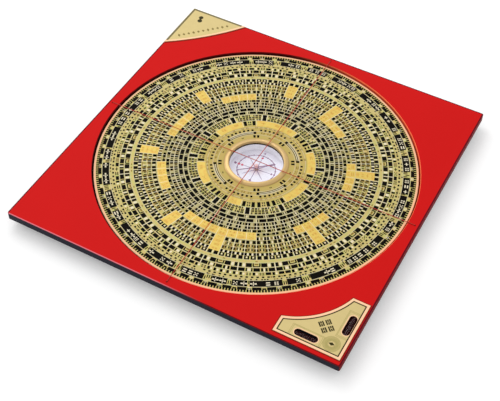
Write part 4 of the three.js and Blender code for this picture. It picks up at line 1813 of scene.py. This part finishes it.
    def add_trigrams(self, writer: SolidWriter, low: float, high: float) -> None:
        """Adds four trigrams in a block turned to the corner, and a lozenge in the rosette.

        Args:
            writer: Where they go.
            low: Their underside.
            high: Their top.
        """
        sizes = self.trigrams
        x, y = self.front_spot(sizes.inset, sizes.rise)
        turn = Matrix.Rotation(sizes.turn, 2)
        length, gap, half = sizes.line_half_length, sizes.gap_half, sizes.line_half_width
        for column, row, line in itertools.product((-1, 1), (-1, 1), (-1, 0, 1)):
            middle = Vector((
                column * sizes.column_half, row * sizes.row_half + line * sizes.line_pitch,
            ))
            bars = ((-length, length),) if line else ((-length, -gap), (gap, length))
            for start, end in bars:
                spots = [turn @ (middle + Vector(p)) for p in box(start, -half, end, half)]
                writer.prism(moved(spots, x, y), low, high)
        x, y = self.front_spot(self.rosette.inset, self.rosette.rise)
        wide, short = self.rosette.lozenge_half, self.rosette.lozenge_short_half
        writer.prism(moved([(-wide, 0), (0, -short), (wide, 0), (0, short)], x, y), low, high)

    def back_plate(self) -> None:
        """Builds the back plate's border, its bare margin, a shadow painted along its long side on
        the red, and its generic signs.
        """
        top = self.back_high.z
        ink_top = top + self.ink_height
        x, y = self.back_low.x, self.back_high.y
        leg = self.back_high.x - x
        line = corner_line(leg - self.back_band_end, self.back_band)
        line = moved(line, x + self.back_band_inset, y - self.back_band_inset)
        margin = self.long_side_band(self.back_margin_gap, self.back_margin)
        # The shadow painted on the red along the long side.
        painted_shadow = self.long_side_band(-self.back_painted_shadow, 0.0)
        for name, ink, outline, low in (
            ("back_plate_border", Ink.MOSS, line, top),
            ("back_plate_margin", Ink.BARE_AND_HIGHLIGHT, margin, top),
            ("back_plate_painted_shadow", Ink.PAINTED_SHADOW, painted_shadow, self.sheet),
        ):
            writer = SolidWriter()
            writer.prism(outline, low, low + self.ink_height)
            self.place(writer, name, ink)
        signs = SolidWriter()
        sizes = self.lozenges
        for sign in range(sizes.count):
            share = sign / (sizes.count - 1)
            spot = [start + share * run for start, run in zip(sizes.start, sizes.run)]
            half = sizes.long_half if sign % 3 else sizes.longer_half
            outline = lozenge(half, sizes.short_half)
            signs.prism(moved(outline, x + spot[0], y + spot[1]), top, ink_top)
        self.place(signs, "back_plate_row", Ink.TAN)
        mark = SolidWriter()
        for right, up, radius in self.back_dots:
            outline = moved(disc(radius, self.dot_sides), x + right, y + up)
            mark.prism(outline, top, ink_top + self.ink_height)
        right, up, half_x, half_y = self.back_bar
        outline = moved(box(-half_x, -half_y, half_x, half_y), x + right, y + up)
        mark.prism(outline, top, ink_top)
        self.place(mark, "back_plate_mark", Ink.OLIVE)

    def long_side_band(self, outset: float, inset: float) -> list[Point]:
        """Draws a band along the back plate's long curved side.

        Args:
            outset: How far inside the side its outer edge runs, or outside it if negative.
            inset: How far inside the side its inner edge runs.

        Returns:
            The band's outline, counterclockwise.
        """
        low, high = self.back_low, self.back_high
        vertices = [v.co for v in frame["nodes"]["back_corner_plate"].data.vertices]
        edge = {(round(v.x, 6), round(v.y, 6)) for v in vertices if high.z - v.z < 0.01 * MM}
        start, end = Vector((low.x, low.y)), Vector((high.x, high.y))
        along = (end - start).normalized()
        out = Vector((along.y, -along.x))
        side = [Vector(p) for p in edge if (Vector(p) - start).dot(out) > -self.touching]
        side.sort(key=lambda p: (p - start).dot(along))
        last = (end - start).length - self.back_end
        side = [p for p in side if self.back_end < (p - start).dot(along) < last]

        def shifted(depth: float) -> list[Point]:
            """Moves the side inward and keeps its ends on the plate's straight edges.

            Args:
                depth: How far it moves.

            Returns:
                The moved side.
            """
            slide = depth * math.sqrt(2)
            first, final = start + Vector((0, slide)), end - Vector((slide, 0))
            return [tuple(p) for p in (first, *(p - out * depth for p in side), final)]

        return shifted(outset) + shifted(inset)[::-1]

    def place(self, writer: SolidWriter, name: str, ink: Ink) -> None:
        """Makes one ink layer of a plate and lets it ride on the base.

        Args:
            writer: The layer's solids.
            name: The piece's name.
            ink: Its ink.
        """
        piece = writer.make(name, ink.value)
        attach(piece, "base")

    def build(self) -> None:
        """Builds both plates' print, the shadows painted round them and the highlight painted on
        the window lips.
        """
        self.front_plate()
        self.back_plate()


# Levels


@dataclass
class Levels:
    """The two tubular levels in the front plate."""

    names: tuple[str, ...] = ("level_front", "level_right")
    steps: int = 48
    wall: float = 0.6 * MM
    line_width: float = 0.25 * MM
    line_height: float = 0.03 * MM
    line_half_gap: float = 3.3 * MM

    def tube(self, name: str) -> None:
        """Builds one round tube and its two lines in the CAD tube's place.

        Args:
            name: The level's name.
        """
        node = f"{name}_tube"
        low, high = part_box(node)
        size = high - low
        radius, half = size.z / 2, max(size.x, size.y) / 2
        turn = Matrix.Rotation(QUARTER_TURN, 4, "Y" if size.x > size.y else "X")
        place = Matrix.Translation((low + high) / 2) @ turn
        writer = SolidWriter()
        writer.lathe(self.pipe(radius - self.wall, radius, -half, half), self.steps, place)
        piece = writer.make(f"{name}_glass", FINISHES[Slot.TUBE], ROUND_EDGE)
        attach(piece, "base")
        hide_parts(node)
        lines = SolidWriter()
        for side in (-1, 1):
            start, end = (side * self.line_half_gap + s * self.line_width / 2 for s in (-1, 1))
            lines.lathe(self.pipe(radius, radius + self.line_height, start, end), self.steps, place)
        piece = lines.make(f"{name}_lines", Ink.BLACK.value, ROUND_EDGE)
        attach(piece, "base")

    @staticmethod
    def pipe(bore: float, radius: float, low: float, high: float) -> list[Point]:
        """Returns the closed profile of a pipe."""
        return box(bore, low, radius, high)

    def build(self) -> None:
        """Builds both levels."""
        for name in self.names:
            self.tube(name)


# The room


def looking(direction: Vector) -> Matrix:
    """Returns the turn of a camera or lamp that looks along a direction."""
    return direction.to_track_quat("-Z", "Y").to_matrix().to_4x4()


@dataclass(frozen=True)
class Lamp:
    """A square lamp that looks at the compass, with its side and its power in watts."""

    name: str
    place: Point3
    size: float
    power: float


@dataclass
class Studio:
    """The camera, the lamps and the floor."""

    target: Point3 = (0.0159, -0.04023, 0.015)
    azimuth: float = math.radians(27.656)
    elevation: float = math.radians(49.203)
    roll: float = math.radians(1.2)
    distance: float = 0.82935
    lens_mm: float = 75.343
    sensor_mm: float = 36.0
    nearest: float = 0.01
    farthest: float = 50.0
    floor_half: float = 4.0
    floor_drop: float = 0.05 * MM
    floor_grey: float = 0.8
    floor_roughness: float = 0.9
    floor_glow: float = 0.25
    dim_side: Point3 = (0.62, -0.7, -0.35)
    dim_strength: float = 0.31
    bright_strength: float = 0.98
    dim_from: float = 0.9
    bright_from: float = -0.2
    lamps: tuple[Lamp, ...] = (
        Lamp("key lamp", (-0.9, 0.55, 1.28), 1.0, 7.4),
        Lamp("side lamp", (-1.5, -0.15, 0.36), 0.5, 2.0),
        Lamp("glint lamp", (-0.45, 1.24, 0.7), 0.15, 0.9),
    )

    def camera(self) -> None:
        """Sets the camera at the photograph's place."""
        data = bpy.data.cameras.new("camera")
        data.lens = self.lens_mm
        data.sensor_width = self.sensor_mm
        data.clip_start = self.nearest
        data.clip_end = self.farthest
        flat = math.cos(self.elevation)
        back = Vector((
            math.sin(self.azimuth) * flat, -math.cos(self.azimuth) * flat, math.sin(self.elevation),
        ))
        place = Matrix.Translation(Vector(self.target) + back * self.distance)
        camera = bpy.data.objects.new("camera", data)
        camera.matrix_world = place @ looking(-back) @ Matrix.Rotation(self.roll, 4, "Z")
        bpy.context.scene.collection.objects.link(camera)
        bpy.context.scene.camera = camera

    def hang(self, lamp: Lamp) -> None:
        """Hangs one lamp.

        Args:
            lamp: The lamp.
        """
        data = bpy.data.lights.new(lamp.name, "AREA")
        data.size = lamp.size
        data.energy = lamp.power
        made = bpy.data.objects.new(lamp.name, data)
        spot = Vector(lamp.place)
        made.matrix_world = Matrix.Translation(spot) @ looking(-spot)
        bpy.context.scene.collection.objects.link(made)

    @staticmethod
    def white_light(graph: NodeGraph, kind: str, strength: object) -> Socket:
        """Adds a node that gives white light.

        Args:
            graph: The tree that takes it.
            kind: The node's type.
            strength: Its strength, a number or socket.

        Returns:
            The light.
        """
        node = graph.add(kind)
        node.inputs["Color"].default_value = WHITE
        graph.give(node.inputs["Strength"], strength)
        return node.outputs[0]

    def world(self) -> None:
        """Lights the room softly, a little dimmer from the front right, and shows it white."""
        world = bpy.data.worlds.new("room")
        bpy.context.scene.world = world
        world.use_nodes = True
        graph = NodeGraph(world.node_tree)
        toward = graph.add("ShaderNodeVectorMath", operation="DOT_PRODUCT")
        toward.inputs[1].default_value = Vector(self.dim_side).normalized()
        direction = graph.add("ShaderNodeTexCoord").outputs["Generated"]
        graph.join(direction, toward.inputs[0])
        strength = graph.ranged(toward.outputs["Value"], {
            "From Min": self.dim_from, "From Max": self.bright_from,
            "To Min": self.dim_strength, "To Max": self.bright_strength,
        })
        soft = self.white_light(graph, "ShaderNodeBackground", strength)
        seen = self.white_light(graph, "ShaderNodeBackground", 1.0)
        output = graph.add("ShaderNodeOutputWorld")
        room = graph.either_shader(graph.backdrop_ray(), soft, seen)
        graph.join(room, output.inputs["Surface"])

    def floor(self) -> None:
        """Lays the pale floor."""
        graph = ShaderGraph("floor white")
        graph.set("Base Color", shaded(WHITE, self.floor_grey))
        graph.set("Roughness", self.floor_roughness)
        graph.set("Specular IOR Level", 0.0)
        glow = graph.product(graph.backdrop_ray(), self.floor_glow)
        both = graph.add("ShaderNodeAddShader")
        graph.join(graph.principled.outputs["BSDF"], both.inputs[0])
        graph.join(self.white_light(graph, "ShaderNodeEmission", glow), both.inputs[1])
        graph.show(both.outputs[0])
        mesh = bpy.data.meshes.new("floor")
        half = self.floor_half
        corners = [(x, y, -self.floor_drop) for x, y in box(-half, -half, half, half)]
        mesh.from_pydata(corners, [], [(0, 1, 2, 3)])
        mesh.materials.append(graph.material)
        floor = bpy.data.objects.new("floor", mesh)
        bpy.context.scene.collection.objects.link(floor)

    def build(self) -> None:
        """Builds the room and sets the plain view transform."""
        bpy.context.scene.view_settings.view_transform = "Standard"
        self.camera()
        self.world()
        self.floor()
        for lamp in self.lamps:
            self.hang(lamp)


def main() -> None:
    """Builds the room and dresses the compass."""
    logging.basicConfig(level=logging.INFO, format="%(name)s: %(message)s")
    Studio().build()
    CadDresser().dress()
    DialPrint().build()
    Capsule().build()
    CornerPlates().build()
    Levels().build()


if __name__ == "__main__":
    main()
